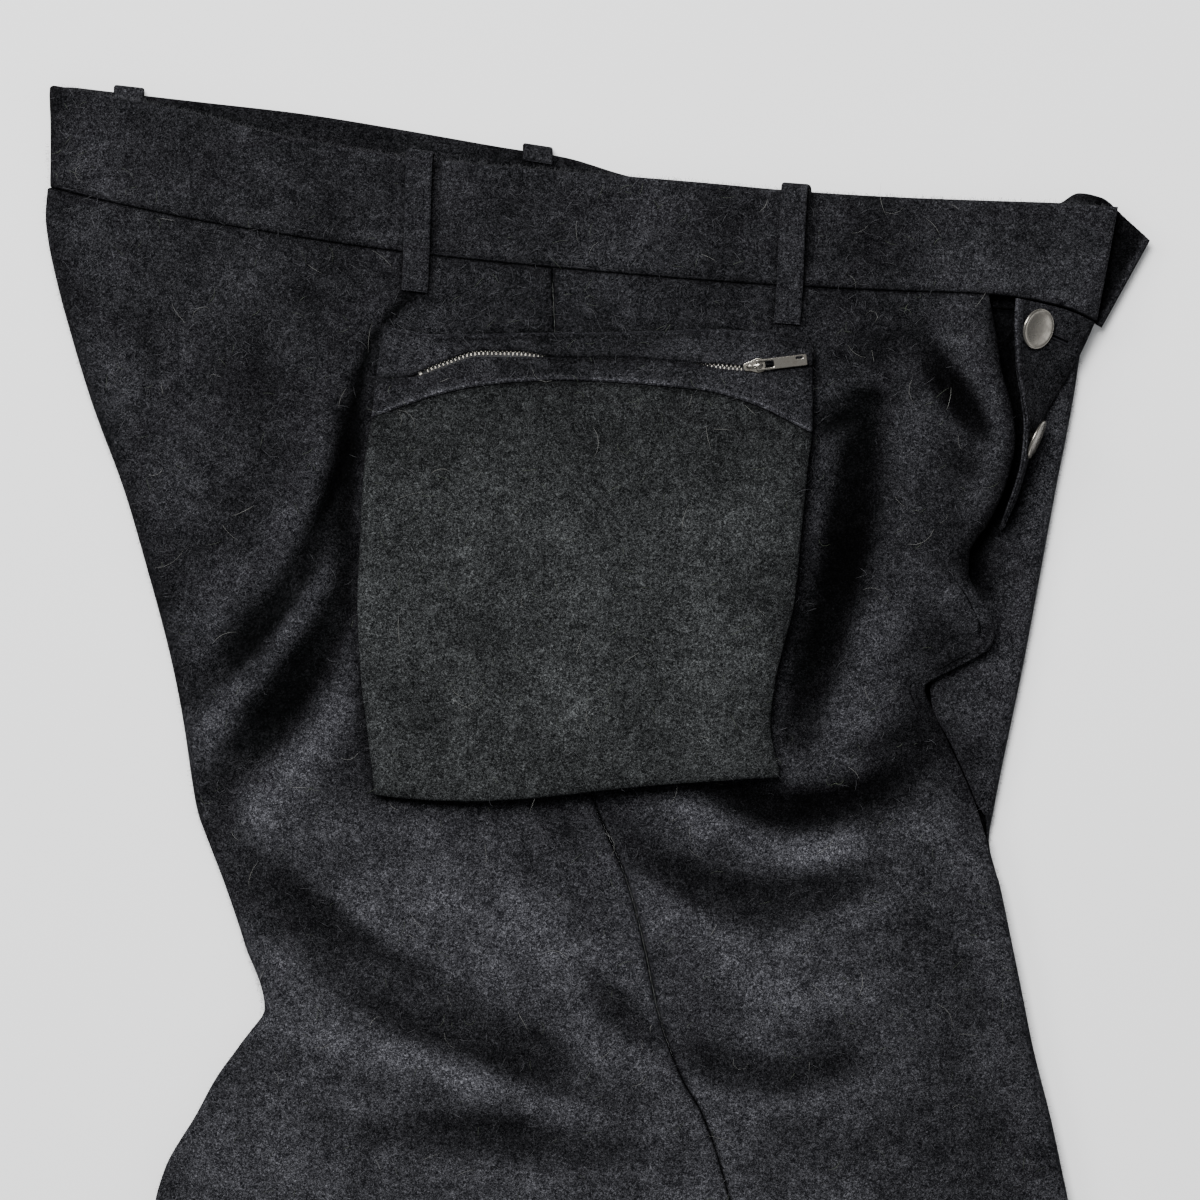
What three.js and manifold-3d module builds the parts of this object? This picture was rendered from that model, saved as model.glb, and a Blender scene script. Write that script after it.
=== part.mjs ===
// Cargo trousers of thick felted wool, laid on their side with the fly undone.
// Millimetres, +Z up. The cloth lies on the plane z = 0, X runs from the seat to the fly,
// and Y runs up the legs to the waist. Near is the wearer's right side, which lies on top;
// far is the left side, which lies underneath.
//
// The tables measure the garment as a cutter would: x is the distance from the seat end of
// the waist towards the fly, and drop is the distance below that corner of the waist.
import * as THREE from "three";
import Module from "manifold-3d";

const wasm = await Module();
wasm.setup();

// Driving sizes
const LENGTH = 1080; // drop of the hem
const CENTRE_X = 219; // x of the frame's origin
const CLOTH = 2; // wall of the felted wool
const BAND = 3; // wall of the waistband, cloth on cloth
const STRAP = 1.8; // wall of a belt loop
const SEAM_GAP = 0.3; // between pieces that are sewn together
const BACK_NOTCH = 370.8; // drop of the crotch at the seat fold
const FRONT_NOTCH = 302.8; // drop of the crotch at the fly fold
const FORK_DROP = 411; // drop of the point where the four inner seams meet
const CENTRE_BACK = 26.4; // the centre back seam lies underneath, this far in from the seat

// Heights of the four layers of the legs, at the middle of the cloth
const FLOOR_LAYER = CLOTH / 2;
const FAR_INNER = 4.2;
const NEAR_INNER = 6.8;
const NEAR_OUTER = 10.8;
const SEAT_EDGE = 7.4; // the near side at its edge, where only two layers lie
const UNDER_BAND = 3.5; // middle of the far waistband, which rests on its loops

// Outline of the near side. seat and fly are the silhouette, seam is the side seam.
const OUTLINE = [
  { drop: 40, seat: -1.4, fly: 420, seam: 200 },
  { drop: 52.8, seat: -2.4, fly: 420, seam: 200.4 },
  { drop: 62, seat: -1.4, fly: 419, seam: 200.6 },
  { drop: 80, seat: 2.4, fly: 416.6, seam: 201 },
  { drop: 100, seat: 7.8, fly: 413.8, seam: 201.8 },
  { drop: 126.8, seat: 16, fly: 409.8, seam: 203 },
  { drop: 162.8, seat: 29.2, fly: 402.8, seam: 205 },
  { drop: 190, seat: 37.2, fly: 397.8, seam: 207.2 },
  { drop: 230.8, seat: 48, fly: 390.2, seam: 211 },
  { drop: 258.8, seat: 53.4, fly: 384.4, seam: 213.6 },
  { drop: 280, seat: 56.4, fly: 380, seam: 215.8 },
  { drop: 291, seat: 58.4, fly: 378, seam: 219 },
  { drop: 302.8, seat: 62.6, fly: 376, seam: 224 },
  { drop: 320, seat: 69.2, fly: 380, seam: 231 },
  { drop: 345, seat: 77.6, fly: 385.2, seam: 237.6 },
  { drop: 370.8, seat: 84.8, fly: 390.4, seam: 243 },
  { drop: 384, seat: 76.6, fly: 393, seam: 247 },
  { drop: 398.8, seat: 66, fly: 396.6, seam: 253 },
  { drop: 412.8, seat: 58.4, fly: 400.2, seam: 261 },
  { drop: 436, seat: 45.2, fly: 405.2, seam: 269 },
  { drop: 452, seat: 41.4, fly: 408.4, seam: 272.8 },
  { drop: 520, seat: 42.6, fly: 418, seam: 280 },
  { drop: 600, seat: 55, fly: 420, seam: 280 },
  { drop: 700, seat: 75, fly: 411, seam: 273 },
  { drop: 800, seat: 93, fly: 399, seam: 264 },
  { drop: 900, seat: 108, fly: 387, seam: 257 },
  { drop: 1000, seat: 120, fly: 376, seam: 251 },
  { drop: LENGTH, seat: 128, fly: 368, seam: 248 },
];

// Near front: its fly edge, pulled back, and below it the centre front seam.
const FLY_EDGE = [
  { drop: 84, x: 375.5 },
  { drop: 100, x: 378.5 },
  { drop: 116, x: 381 },
  { drop: 131, x: 385 },
  { drop: 143, x: 386.2 },
  { drop: 159, x: 383 },
  { drop: 176, x: 375.5 },
  { drop: 188, x: 368 },
  { drop: 196, x: 367.5 },
  { drop: 208, x: 374 },
  { drop: 219, x: 378.4 },
  { drop: 226, x: 376 },
  { drop: 234, x: 363 },
  { drop: 242, x: 350 },
  { drop: 249, x: 352.5 },
  { drop: 263.6, x: 359.6 },
  { drop: 286, x: 369.5 },
  { drop: 302.8, x: 375 },
];

// Edge of the far front's underlap, which reaches under the near fly edge.
const UNDERLAP_EDGE = [
  { drop: 90, x: 392 },
  { drop: 110, x: 380 },
  { drop: 130, x: 372 },
  { drop: 200, x: 356 },
  { drop: 236, x: 352 },
  { drop: 249, x: 352.8 },
  { drop: 263.6, x: 360 },
  { drop: 286, x: 369.8 },
  { drop: 302.8, x: 375.3 },
];

// Near waistband: drop of its top edge and of its lower seam, and the height of each.
const NEAR_BAND = [
  { x: -2, top: 0, seam: 41, topZ: 8, seamZ: 8 },
  { x: 20, top: 4.2, seam: 46.6, topZ: 11.5, seamZ: 10.5 },
  { x: 58, top: 12, seam: 54.6, topZ: 14.5, seamZ: 12.2 },
  { x: 91, top: 20.8, seam: 60.2, topZ: 15, seamZ: 12.8 },
  { x: 126, top: 27, seam: 65.6, topZ: 13.6, seamZ: 12.6 },
  { x: 172, top: 32.4, seam: 71, topZ: 12.4, seamZ: 12.6 },
  { x: 226, top: 36.8, seam: 76, topZ: 12, seamZ: 12.6 },
  { x: 260, top: 39.6, seam: 78.8, topZ: 12, seamZ: 12.2 },
  { x: 300, top: 43.2, seam: 81.4, topZ: 12, seamZ: 12 },
  { x: 340, top: 45.6, seam: 83.2, topZ: 12.2, seamZ: 12.4 },
  { x: 376, top: 47, seam: 84.6, topZ: 13, seamZ: 14 },
  { x: 404, top: 48, seam: 89.2, topZ: 14, seamZ: 14 },
  { x: 427.2, top: 49.6, seam: 99.4, topZ: 15, seamZ: 12 },
];
const BAND_END_SLANT = 8.4; // the end's lower corner lies this far back from its upper one

// Far waistband: the upper and the lower edge of its columns, and their height.
const FAR_BAND = [
  { topX: 25, topDrop: 3, lowX: 25, lowDrop: 47.2, z: UNDER_BAND },
  { topX: 60, topDrop: 7, lowX: 58, lowDrop: 50.4, z: UNDER_BAND },
  { topX: 100, topDrop: 11.6, lowX: 97, lowDrop: 54.6, z: UNDER_BAND },
  { topX: 140, topDrop: 18, lowX: 136, lowDrop: 60, z: UNDER_BAND },
  { topX: 180, topDrop: 25, lowX: 176, lowDrop: 66, z: UNDER_BAND },
  { topX: 206, topDrop: 29.2, lowX: 203, lowDrop: 70.4, z: UNDER_BAND },
  { topX: 232, topDrop: 36.8, lowX: 230, lowDrop: 76, z: UNDER_BAND },
  { topX: 260, topDrop: 42, lowX: 258, lowDrop: 81.4, z: UNDER_BAND },
  { topX: 300, topDrop: 46, lowX: 297, lowDrop: 85.6, z: UNDER_BAND },
  { topX: 345, topDrop: 49, lowX: 340, lowDrop: 88.6, z: UNDER_BAND },
  { topX: 380, topDrop: 49.6, lowX: 370, lowDrop: 89.4, z: UNDER_BAND },
  { topX: 402, topDrop: 48.4, lowX: 384, lowDrop: 90, z: 4.2 },
  { topX: 412, topDrop: 43.6, lowX: 394, lowDrop: 90.4, z: 5.6 },
  { topX: 421, topDrop: 45.4, lowX: 403, lowDrop: 90.6, z: 6.4 },
  { topX: 431, topDrop: 54, lowX: 412, lowDrop: 92.6, z: 6 },
  { topX: 440.6, topDrop: 62.6, lowX: 421.2, lowDrop: 97.6, z: 5.4 },
];

// Folds of the near side: a soft ridge (height above 0) or trough along a bowed line from
// start to end through a bow point, each measured as x and drop.
const FOLDS = [
  // Seat, two troughs that sweep down to the seat fold from the pocket
  { x0: 122, d0: 140, xb: 112, db: 205, x1: 54, d1: 244, wide: 8, height: -5.2 },
  { x0: 124, d0: 188, xb: 108, db: 238, x1: 60, d1: 286, wide: 8, height: -5.6 },
  { x0: 112, d0: 186, xb: 98, db: 222, x1: 58, d1: 262, wide: 6, height: 3.4 },
  { x0: 120, d0: 120, xb: 117, db: 160, x1: 118, d1: 205, wide: 5, height: -3 },
  // Back of the thigh, the long trough from the seat fold to the side seam
  { x0: 60, d0: 292, xb: 104, db: 356, x1: 232, d1: 410, wide: 12, height: -5.6 },
  { x0: 128, d0: 226, xb: 116, db: 262, x1: 76, d1: 300, wide: 10, height: 3.8 },
  { x0: 132, d0: 300, xb: 168, db: 330, x1: 214, d1: 346, wide: 22, height: 3.4 },
  { x0: 88, d0: 376, xb: 156, db: 392, x1: 236, d1: 424, wide: 11, height: 4.2 },
  { x0: 128, d0: 424, xb: 186, db: 418, x1: 250, d1: 430, wide: 9, height: -3.4 },
  // Front, the deep trough beside the pocket and the bulge in front of it
  { x0: 326, d0: 128, xb: 322, db: 180, x1: 300, d1: 262, wide: 8.5, height: -7 },
  { x0: 312, d0: 128, xb: 338, db: 118, x1: 360, d1: 150, wide: 9, height: 4.4 },
  { x0: 342, d0: 150, xb: 346, db: 200, x1: 316, d1: 266, wide: 14, height: 5 },
  { x0: 350, d0: 104, xb: 364, db: 128, x1: 378, d1: 148, wide: 5.5, height: -3.6 },
  { x0: 352, d0: 138, xb: 366, db: 158, x1: 378, d1: 152, wide: 6.5, height: -3.2 },
  { x0: 372, d0: 112, xb: 388, db: 140, x1: 366, d1: 182, wide: 7, height: 3.8 },
  { x0: 340, d0: 190, xb: 366, db: 208, x1: 372, d1: 222, wide: 11, height: 5.2 },
  { x0: 372, d0: 224, xb: 354, db: 236, x1: 322, d1: 254, wide: 7, height: 2.2 },
  // Front of the thigh, smile-shaped folds below the pocket's corner
  { x0: 260, d0: 278, xb: 306, db: 308, x1: 352, d1: 266, wide: 7.5, height: -5.6 },
  { x0: 258, d0: 290, xb: 312, db: 330, x1: 356, d1: 290, wide: 9, height: 4 },
  { x0: 224, d0: 294, xb: 286, db: 356, x1: 334, d1: 306, wide: 8.5, height: -4.6 },
  { x0: 216, d0: 358, xb: 232, db: 376, x1: 246, d1: 388, wide: 6, height: -4 },
  { x0: 250, d0: 381, xb: 276, db: 408, x1: 322, d1: 392, wide: 7, height: -4.2 },
  { x0: 262, d0: 352, xb: 300, db: 376, x1: 346, d1: 352, wide: 14, height: 3 },
  // Below the crop, plain long folds down the leg
  { x0: 120, d0: 470, xb: 190, db: 560, x1: 178, d1: 700, wide: 20, height: 4 },
  { x0: 330, d0: 470, xb: 345, db: 580, x1: 300, d1: 720, wide: 20, height: 4 },
  { x0: 80, d0: 560, xb: 170, db: 640, x1: 250, d1: 650, wide: 14, height: -3 },
  { x0: 300, d0: 780, xb: 270, db: 880, x1: 290, d1: 1010, wide: 18, height: 3 },
];

// Cargo pocket: its left and right edges by drop, and the curves across it by x.
const POCKET_SIDES = [
  { drop: 97, left: 134, right: 300 },
  { drop: 107, left: 132, right: 304.6 },
  { drop: 136, left: 128.6, right: 304.4 },
  { drop: 155, left: 126, right: 302.4 },
  { drop: 183, left: 124.4, right: 299.6 },
  { drop: 207, left: 123.4, right: 297.2 },
  { drop: 239, left: 124.8, right: 289.6 },
  { drop: 257, left: 127, right: 287.6 },
  { drop: 276, left: 129.4, right: 291 },
  { drop: 287, left: 130.4, right: 292 },
];
const POCKET_CURVES = [
  { x: 124, top: 95.4, zip: 118, seam: 135.6, foot: 283.6 },
  { x: 140, top: 98.4, zip: 118, seam: 130, foot: 285.8 },
  { x: 156, top: 100.6, zip: 112.4, seam: 124.8, foot: 286.8 },
  { x: 172, top: 100.4, zip: 107.6, seam: 121.4, foot: 287 },
  { x: 188, top: 100, zip: 107.8, seam: 119.8, foot: 286.2 },
  { x: 205, top: 99.8, zip: 110, seam: 119.2, foot: 284.6 },
  { x: 226, top: 99.6, zip: 110, seam: 120, foot: 282.2 },
  { x: 245, top: 99.2, zip: 111, seam: 121.6, foot: 280.4 },
  { x: 262, top: 98.4, zip: 112.8, seam: 123.4, foot: 279.2 },
  { x: 280, top: 99.4, zip: 114.2, seam: 128.4, foot: 278 },
  { x: 306, top: 105, zip: 113.4, seam: 141, foot: 277 },
];
// How far the pocket stands off the trousers along its edges and in its middle
const POCKET_RISE = { left: 3.4, right: 8.6, footLeft: 3.6, footRight: 7.6, middle: 3.6 };
const POCKET_ROLL = 6; // width over which the pocket's edge rolls down to its gusset
const ZIP = { start: 148, end: 280, half: 1.8, chainWide: 2.6, chainHigh: 1.4 };

// Fly strip: a placket with buttonholes whose free edge stands up. Its two long edges.
const FLY_STRIP = [
  { freeX: 386.2, freeDrop: 86.2, freeZ: 15, baseX: 418.2, baseDrop: 95.8, baseZ: 11.4 },
  { freeX: 385.6, freeDrop: 92, freeZ: 19.4, baseX: 415, baseDrop: 103, baseZ: 9.6 },
  { freeX: 385.4, freeDrop: 98, freeZ: 22.6, baseX: 411, baseDrop: 111, baseZ: 8.9 },
  { freeX: 386, freeDrop: 112, freeZ: 25, baseX: 404.4, baseDrop: 122, baseZ: 8.9 },
  { freeX: 388.4, freeDrop: 127, freeZ: 25.4, baseX: 397.6, baseDrop: 134, baseZ: 8.9 },
  { freeX: 389.8, freeDrop: 138, freeZ: 25, baseX: 392.8, baseDrop: 145, baseZ: 8.9 },
  { freeX: 388.8, freeDrop: 151, freeZ: 23, baseX: 389.8, baseDrop: 155, baseZ: 8.9 },
  { freeX: 385.4, freeDrop: 164, freeZ: 19.6, baseX: 386.4, baseDrop: 166, baseZ: 8.9 },
  { freeX: 379.6, freeDrop: 178, freeZ: 15.6, baseX: 380.6, baseDrop: 179, baseZ: 8.9 },
];

// Fly buttons: the row and the share of the strip's width where each post goes through it,
// the way that the face looks, and how far the face stands off. Slit is the buttonhole.
const BUTTON = { radius: 8.6, dome: 0.5, edge: 1.5, post: 1.8, slitLong: 6.5, slitWide: 1.2 };
const BUTTONS = [
  { row: 1.5, across: 0.21, lookX: 0.64, lookY: -0.24, lookZ: 0.74, stand: 5.6 },
  { row: 5, across: 0.48, lookX: 0.965, lookY: -0.14, lookZ: 0.23, stand: 3.6 },
];

// Belt loops, 10.5 mm wide, from a point over the top edge to one below the seam
const LOOP = { wide: 10.5, over: 2, tail: 7, lift: 0.5 };
const NEAR_LOOPS = [
  { name: "belt_loop_near_back", x: 147.6, lean: 3.6, below: 15 },
  { name: "belt_loop_near_front", x: 297.4, lean: 5.4, below: 15 },
];
const FAR_LOOPS = [
  { name: "belt_loop_centre_back", x: 31, wide: 12 },
  { name: "belt_loop_far_back", x: 195, wide: 12 },
  { name: "belt_loop_far_front", x: 345, wide: 10.5 },
];

// Zip slider and its pull tab, in the slider's own frame: X along the zip
const SLIDER = { x: 281.6, drop: 113.4, turn: 7, long: 9, wide: 6.4, high: 1.1 };
const BAIL = { half: 3.2, wide: 1.2, bar: 0.8, high: 2.8 };
const PULL = { long: 20.5, wide: 4.6, thick: 1.2, pin: 1, hole: 6, holeWide: 2.6, pinX: 1.2, tilt: 4 };

// Number helpers
const clamp = (v, low, high) => Math.min(high, Math.max(low, v));
const lerp = (a, b, t) => a + (b - a) * t;
const smooth = (from, to, v) => {
  const t = clamp((v - from) / (to - from), 0, 1);
  return t * t * (3 - 2 * t);
};
const softMax = (a, b, k) => 0.5 * (a + b + Math.sqrt((a - b) ** 2 + k * k));

// A smooth curve through the rows of a table that never swings past them.
function curve(rows, at, value) {
  const n = rows.length;
  const step = rows.slice(1).map((r, i) => (r[value] - rows[i][value]) / (r[at] - rows[i][at]));
  const slope = rows.map((_, i) => {
    if (i === 0) return step[0];
    if (i === n - 1) return step[n - 2];
    return step[i - 1] * step[i] <= 0 ? 0 : 2 / (1 / step[i - 1] + 1 / step[i]);
  });
  return (v) => {
    const x = clamp(v, rows[0][at], rows[n - 1][at]);
    let i = 0;
    while (i < n - 2 && x > rows[i + 1][at]) i++;
    const h = rows[i + 1][at] - rows[i][at];
    const t = (x - rows[i][at]) / h;
    const [a, b] = [rows[i][value], rows[i + 1][value]];
    const eased = t * t * (3 - 2 * t);
    const start = t * (1 - t) * (1 - t) * h * slope[i];
    const end = t * t * (t - 1) * h * slope[i + 1];
    return a + (b - a) * eased + start + end;
  };
}

const seatEdge = curve(OUTLINE, "drop", "seat");
const flySilhouette = curve(OUTLINE, "drop", "fly");
const sideSeam = curve(OUTLINE, "drop", "seam");
const flyEdge = curve(FLY_EDGE, "drop", "x");
const underlapEdge = curve(UNDERLAP_EDGE, "drop", "x");
const nearTop = curve(NEAR_BAND, "x", "top");
const nearSeam = curve(NEAR_BAND, "x", "seam");
const nearTopZ = curve(NEAR_BAND, "x", "topZ");
const nearSeamZ = curve(NEAR_BAND, "x", "seamZ");
const farSeam = curve(FAR_BAND, "lowX", "lowDrop");
const farTop = curve(FAR_BAND, "topX", "topDrop");
const pocketLeft = curve(POCKET_SIDES, "drop", "left");
const pocketRight = curve(POCKET_SIDES, "drop", "right");
const pocketTop = curve(POCKET_CURVES, "x", "top");
const pocketZip = curve(POCKET_CURVES, "x", "zip");
const pocketSeam = curve(POCKET_CURVES, "x", "seam");
const pocketFoot = curve(POCKET_CURVES, "x", "foot");

// The inner seam of the legs, and the crotch seam that climbs from it to each notch.
const inseam = (drop) => lerp(232, 248, smooth(FORK_DROP, LENGTH, drop));
const centreBack = (drop) => seatEdge(drop) + lerp(3, CENTRE_BACK, smooth(352, 292, drop));
const crotch = (edge, notch, drop) =>
  lerp(edge, inseam(drop), smooth(notch, FORK_DROP, drop) ** 0.8);

// Distance of a point from a fold's bowed line, and its place along the line from 0 to 1.
function fromFold(fold, x, drop) {
  const steps = 14;
  let best = { away: Infinity, along: 0 };
  for (let i = 0; i <= steps; i++) {
    const t = i / steps;
    const [a, b, c] = [(1 - t) * (1 - t), 2 * t * (1 - t), t * t];
    const lineX = a * fold.x0 + b * fold.xb + c * fold.x1;
    const lineDrop = a * fold.d0 + b * fold.db + c * fold.d1;
    const away = Math.hypot(x - lineX, drop - lineDrop);
    if (away < best.away) best = { away, along: t };
  }
  return best;
}

function foldHeight(x, drop) {
  let sum = 0;
  for (const fold of FOLDS) {
    const { away, along } = fromFold(fold, x, drop);
    const fade = 0.35 + 0.65 * Math.sin(Math.PI * along);
    sum += fold.height * fade * Math.exp(-((away / fold.wide) ** 2));
  }
  return sum;
}

// 1 inside the pocket's outline, fading to 0 outside it.
function underPocket(x, drop) {
  const across = Math.min(x - pocketLeft(drop), pocketRight(drop) - x);
  const down = Math.min(drop - pocketTop(x), pocketFoot(x) - drop);
  return smooth(-7, 3, Math.min(across, down));
}

// Height of the near cloth, at the middle of its wall.
const FLAT_UNDER_POCKET = 12;
const PUFF = 4.6;
const PUFF_REACH = 20;
function nearHeight(x, drop) {
  const t = clamp((x - seatEdge(BACK_NOTCH)) / 290, 0, 1);
  const start = lerp(325, 268, t);
  const leg = smooth(start, start + lerp(55, 45, t), drop);
  const edge = lerp(SEAT_EDGE, NEAR_OUTER, leg);
  const rightEdge = drop < FRONT_NOTCH ? flyEdge(drop) : flySilhouette(drop);
  const inside = Math.max(0, Math.min(x - seatEdge(drop), rightEdge - x));
  const lifted = 5.5 * smooth(236, 200, drop) * smooth(330, 372, x);
  const puff = PUFF * (1 - Math.exp(-inside / PUFF_REACH)) * (1 - 0.6 * leg);
  const plain = softMax(edge + puff + lifted + foldHeight(x, drop), edge - 0.6, 1.2);
  const pocketed = lerp(plain, FLAT_UNDER_POCKET, underPocket(x, drop));
  const belowWaist = Math.max(0, drop - nearSeam(x));
  return lerp(pocketed, nearSeamZ(x), Math.exp(-belowWaist / 14));
}

// Rows of the near side start along the waist seam and level out down the body.
const WAIST_FADE = [90, 300];
const seamStart = nearSeam(200);
const nearDrop = (row, x) =>
  row + (nearSeam(x) - seamStart) * (1 - smooth(WAIST_FADE[0], WAIST_FADE[1], row));
const farStart = farSeam(200);
const farDrop = (row, x) =>
  row + (farSeam(x) - farStart) * (1 - smooth(WAIST_FADE[0], WAIST_FADE[1], row));

// x of an edge along a row whose drop changes with x.
function edgeAlong(edge, dropAt, row) {
  let x = edge(row);
  for (let i = 0; i < 6; i++) x = edge(dropAt(row, x));
  return x;
}

// A point at a distance along a line of points of x and z.
function alongLine(points, distance) {
  const runs = points.slice(1).map((p, i) => Math.hypot(p.x - points[i].x, p.z - points[i].z));
  let left = distance;
  let i = 0;
  while (i < runs.length - 1 && left > runs[i]) left -= runs[i++];
  const t = runs[i] ? Math.min(left / runs[i], 1) : 0;
  return { x: lerp(points[i].x, points[i + 1].x, t), z: lerp(points[i].z, points[i + 1].z, t) };
}

// One section of a panel. A first layer runs from the side seam towards the edge, a round
// fold turns by a share of half a circle, and a second layer runs on from there. The
// columns of the fold and the second layer keep their numbers from row to row.
const ARC_STEPS = 12;
const FLAT_END = 6; // length at a plain edge that the columns of a fold take there
function section({ seam, edge, side, firstZ, secondZ, firstEnd, turn, secondEnd }, counts) {
  const [firstCount, arcCount, runCount] = counts;
  const foldZ = firstZ(edge - side * 4);
  const radius = Math.abs(foldZ - secondZ) / 2;
  const tangent = edge - side * radius;
  const centreZ = (foldZ + secondZ) / 2;
  const up = Math.sign(foldZ - secondZ);
  const stop = turn > 0 ? tangent : firstEnd - side * FLAT_END;
  const layerZ = (x) => lerp(firstZ(x), foldZ, turn > 0 ? smooth(14, 0, Math.abs(x - tangent)) : 0);
  const made = [];
  for (let i = 0; i < firstCount; i++) {
    const even = i / firstCount;
    const t = lerp(even, Math.sin((Math.PI / 2) * even), 0.4);
    const x = lerp(seam, stop, t);
    made.push({ x, z: layerZ(x) });
  }
  const tail = [{ x: stop, z: layerZ(stop) }];
  const turned = Math.PI * turn;
  for (let i = 1; i <= ARC_STEPS && turn > 0; i++) {
    const angle = turned * (i / ARC_STEPS);
    const x = tangent + side * radius * Math.sin(angle);
    tail.push({ x, z: centreZ + up * radius * Math.cos(angle) });
  }
  const last = tail[tail.length - 1];
  const short = Math.max(FLAT_END * (1 - 2 * turn), 1.2);
  const run = lerp(short, Math.abs(tangent - secondEnd), smooth(0.75, 1, turn));
  const way = lerp(turned, Math.PI, smooth(0.5, 0.8, turn));
  tail.push({ x: last.x + side * run * Math.cos(way), z: last.z - up * run * Math.sin(way) });
  const arc = radius * turned;
  const shared = ((arc + run) * arcCount) / (arcCount + runCount);
  const arcEnd = lerp(shared, arc, smooth(0.1, 0.6, turn));
  for (let i = 0; i < arcCount; i++) made.push(alongLine(tail, (arcEnd * i) / arcCount));
  for (let i = 0; i <= runCount; i++) {
    made.push(alongLine(tail, lerp(arcEnd, arc + run, i / runCount)));
  }
  return made;
}

const place = (x, drop, z) => new THREE.Vector3(x - CENTRE_X, LENGTH / 2 - drop, z);

// A wall of even thickness on a grid of middle points, closed round its rim.
function wall(rows, thickness) {
  const [height, width] = [rows.length, rows[0].length];
  const outer = [];
  const inner = [];
  for (let r = 0; r < height; r++) {
    for (let c = 0; c < width; c++) {
      const down = rows[Math.min(r + 1, height - 1)][c].clone().sub(rows[Math.max(r - 1, 0)][c]);
      const over = rows[r][Math.min(c + 1, width - 1)].clone().sub(rows[r][Math.max(c - 1, 0)]);
      const normal = over.cross(down).normalize();
      outer.push(rows[r][c].clone().addScaledVector(normal, thickness / 2));
      inner.push(rows[r][c].clone().addScaledVector(normal, -thickness / 2));
    }
  }
  const count = height * width;
  const faces = [];
  const quad = (a, b, c, d) => faces.push(a, b, c, a, c, d);
  const at = (r, c) => r * width + c;
  for (let r = 0; r < height - 1; r++) {
    for (let c = 0; c < width - 1; c++) {
      quad(at(r, c), at(r, c + 1), at(r + 1, c + 1), at(r + 1, c));
      quad(
        count + at(r, c),
        count + at(r + 1, c),
        count + at(r + 1, c + 1),
        count + at(r, c + 1),
      );
    }
  }
  const rim = [];
  for (let c = 0; c < width - 1; c++) rim.push(at(0, c));
  for (let r = 0; r < height - 1; r++) rim.push(at(r, width - 1));
  for (let c = width - 1; c > 0; c--) rim.push(at(height - 1, c));
  for (let r = height - 1; r > 0; r--) rim.push(at(r, 0));
  rim.forEach((a, i) => {
    const b = rim[(i + 1) % rim.length];
    quad(a, count + a, count + b, b);
  });
  return facingOut([...outer, ...inner], faces);
}

function volumeOf(points, faces) {
  let six = 0;
  for (let i = 0; i < faces.length; i += 3) {
    const [a, b, c] = [points[faces[i]], points[faces[i + 1]], points[faces[i + 2]]];
    six += a.dot(b.clone().cross(c));
  }
  return six / 6;
}

function facingOut(points, faces) {
  const turned = volumeOf(points, faces) < 0;
  const index = [];
  for (let i = 0; i < faces.length; i += 3) {
    const [a, b, c] = faces.slice(i, i + 3);
    index.push(...(turned ? [a, c, b] : [a, b, c]));
  }
  const geometry = new THREE.BufferGeometry();
  geometry.setAttribute(
    "position",
    new THREE.Float32BufferAttribute(points.flatMap((p) => p.toArray()), 3),
  );
  geometry.setIndex(index);
  return geometry;
}

// Materials
const wool = new THREE.MeshStandardMaterial({ color: 0x2a2a2e, roughness: 0.95, metalness: 0 });
const tapeCloth = new THREE.MeshStandardMaterial({ color: 0x121212, roughness: 0.8 });
const nickel = new THREE.MeshStandardMaterial({ color: 0xb9b2a8, roughness: 0.3, metalness: 1 });

const garment = new THREE.Group();
function add(name, geometry, material) {
  const mesh = new THREE.Mesh(geometry, material);
  mesh.name = name;
  garment.add(mesh);
  return mesh;
}

// Row drops: close together where the folds lie, wide apart down the leg.
function rowDrops(first, close, closeEnd, rest) {
  const rows = [first];
  const count = Math.round((closeEnd - first) / close);
  for (let i = 1; i <= count; i++) rows.push(first + ((closeEnd - first) * i) / count);
  return [...rows, ...rest];
}
const NEAR_ROWS = rowDrops(seamStart + SEAM_GAP, 12, 452, [490, 540, 600, 680, 770, 870, 980, LENGTH]);
const FAR_ROWS = rowDrops(farStart + 2 * SEAM_GAP, 17, 430, [500, 600, 720, 850, 980, LENGTH]);

// The near back lies over the seat fold: down to the centre back seam underneath, and
// below the crotch round into the inner side of the leg.
function nearBack(row) {
  const edge = edgeAlong(seatEdge, nearDrop, row) + CLOTH / 2;
  const drop = nearDrop(row, edge);
  const atWaist = 2 * Math.exp(-Math.max(0, row - seamStart) / 16);
  const inLeg = smooth(350, 388, drop);
  const under = lerp(FLOOR_LAYER + atWaist, NEAR_INNER, inLeg);
  const closing = smooth(322, 366, drop) * smooth(402, 376, drop);
  const turn = 1 - 0.85 * closing;
  const crotchX = crotch(edge + 4, BACK_NOTCH + 16, drop);
  return {
    seam: sideSeam(nearDrop(row, 210)) - SEAM_GAP / 2,
    edge,
    side: -1,
    firstZ: (x) => nearHeight(x, nearDrop(row, x)),
    secondZ: under,
    firstEnd: edge,
    turn,
    secondEnd: drop < BACK_NOTCH ? Math.max(centreBack(drop), edge + 4.5) : crotchX - SEAM_GAP / 2,
  };
}

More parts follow.
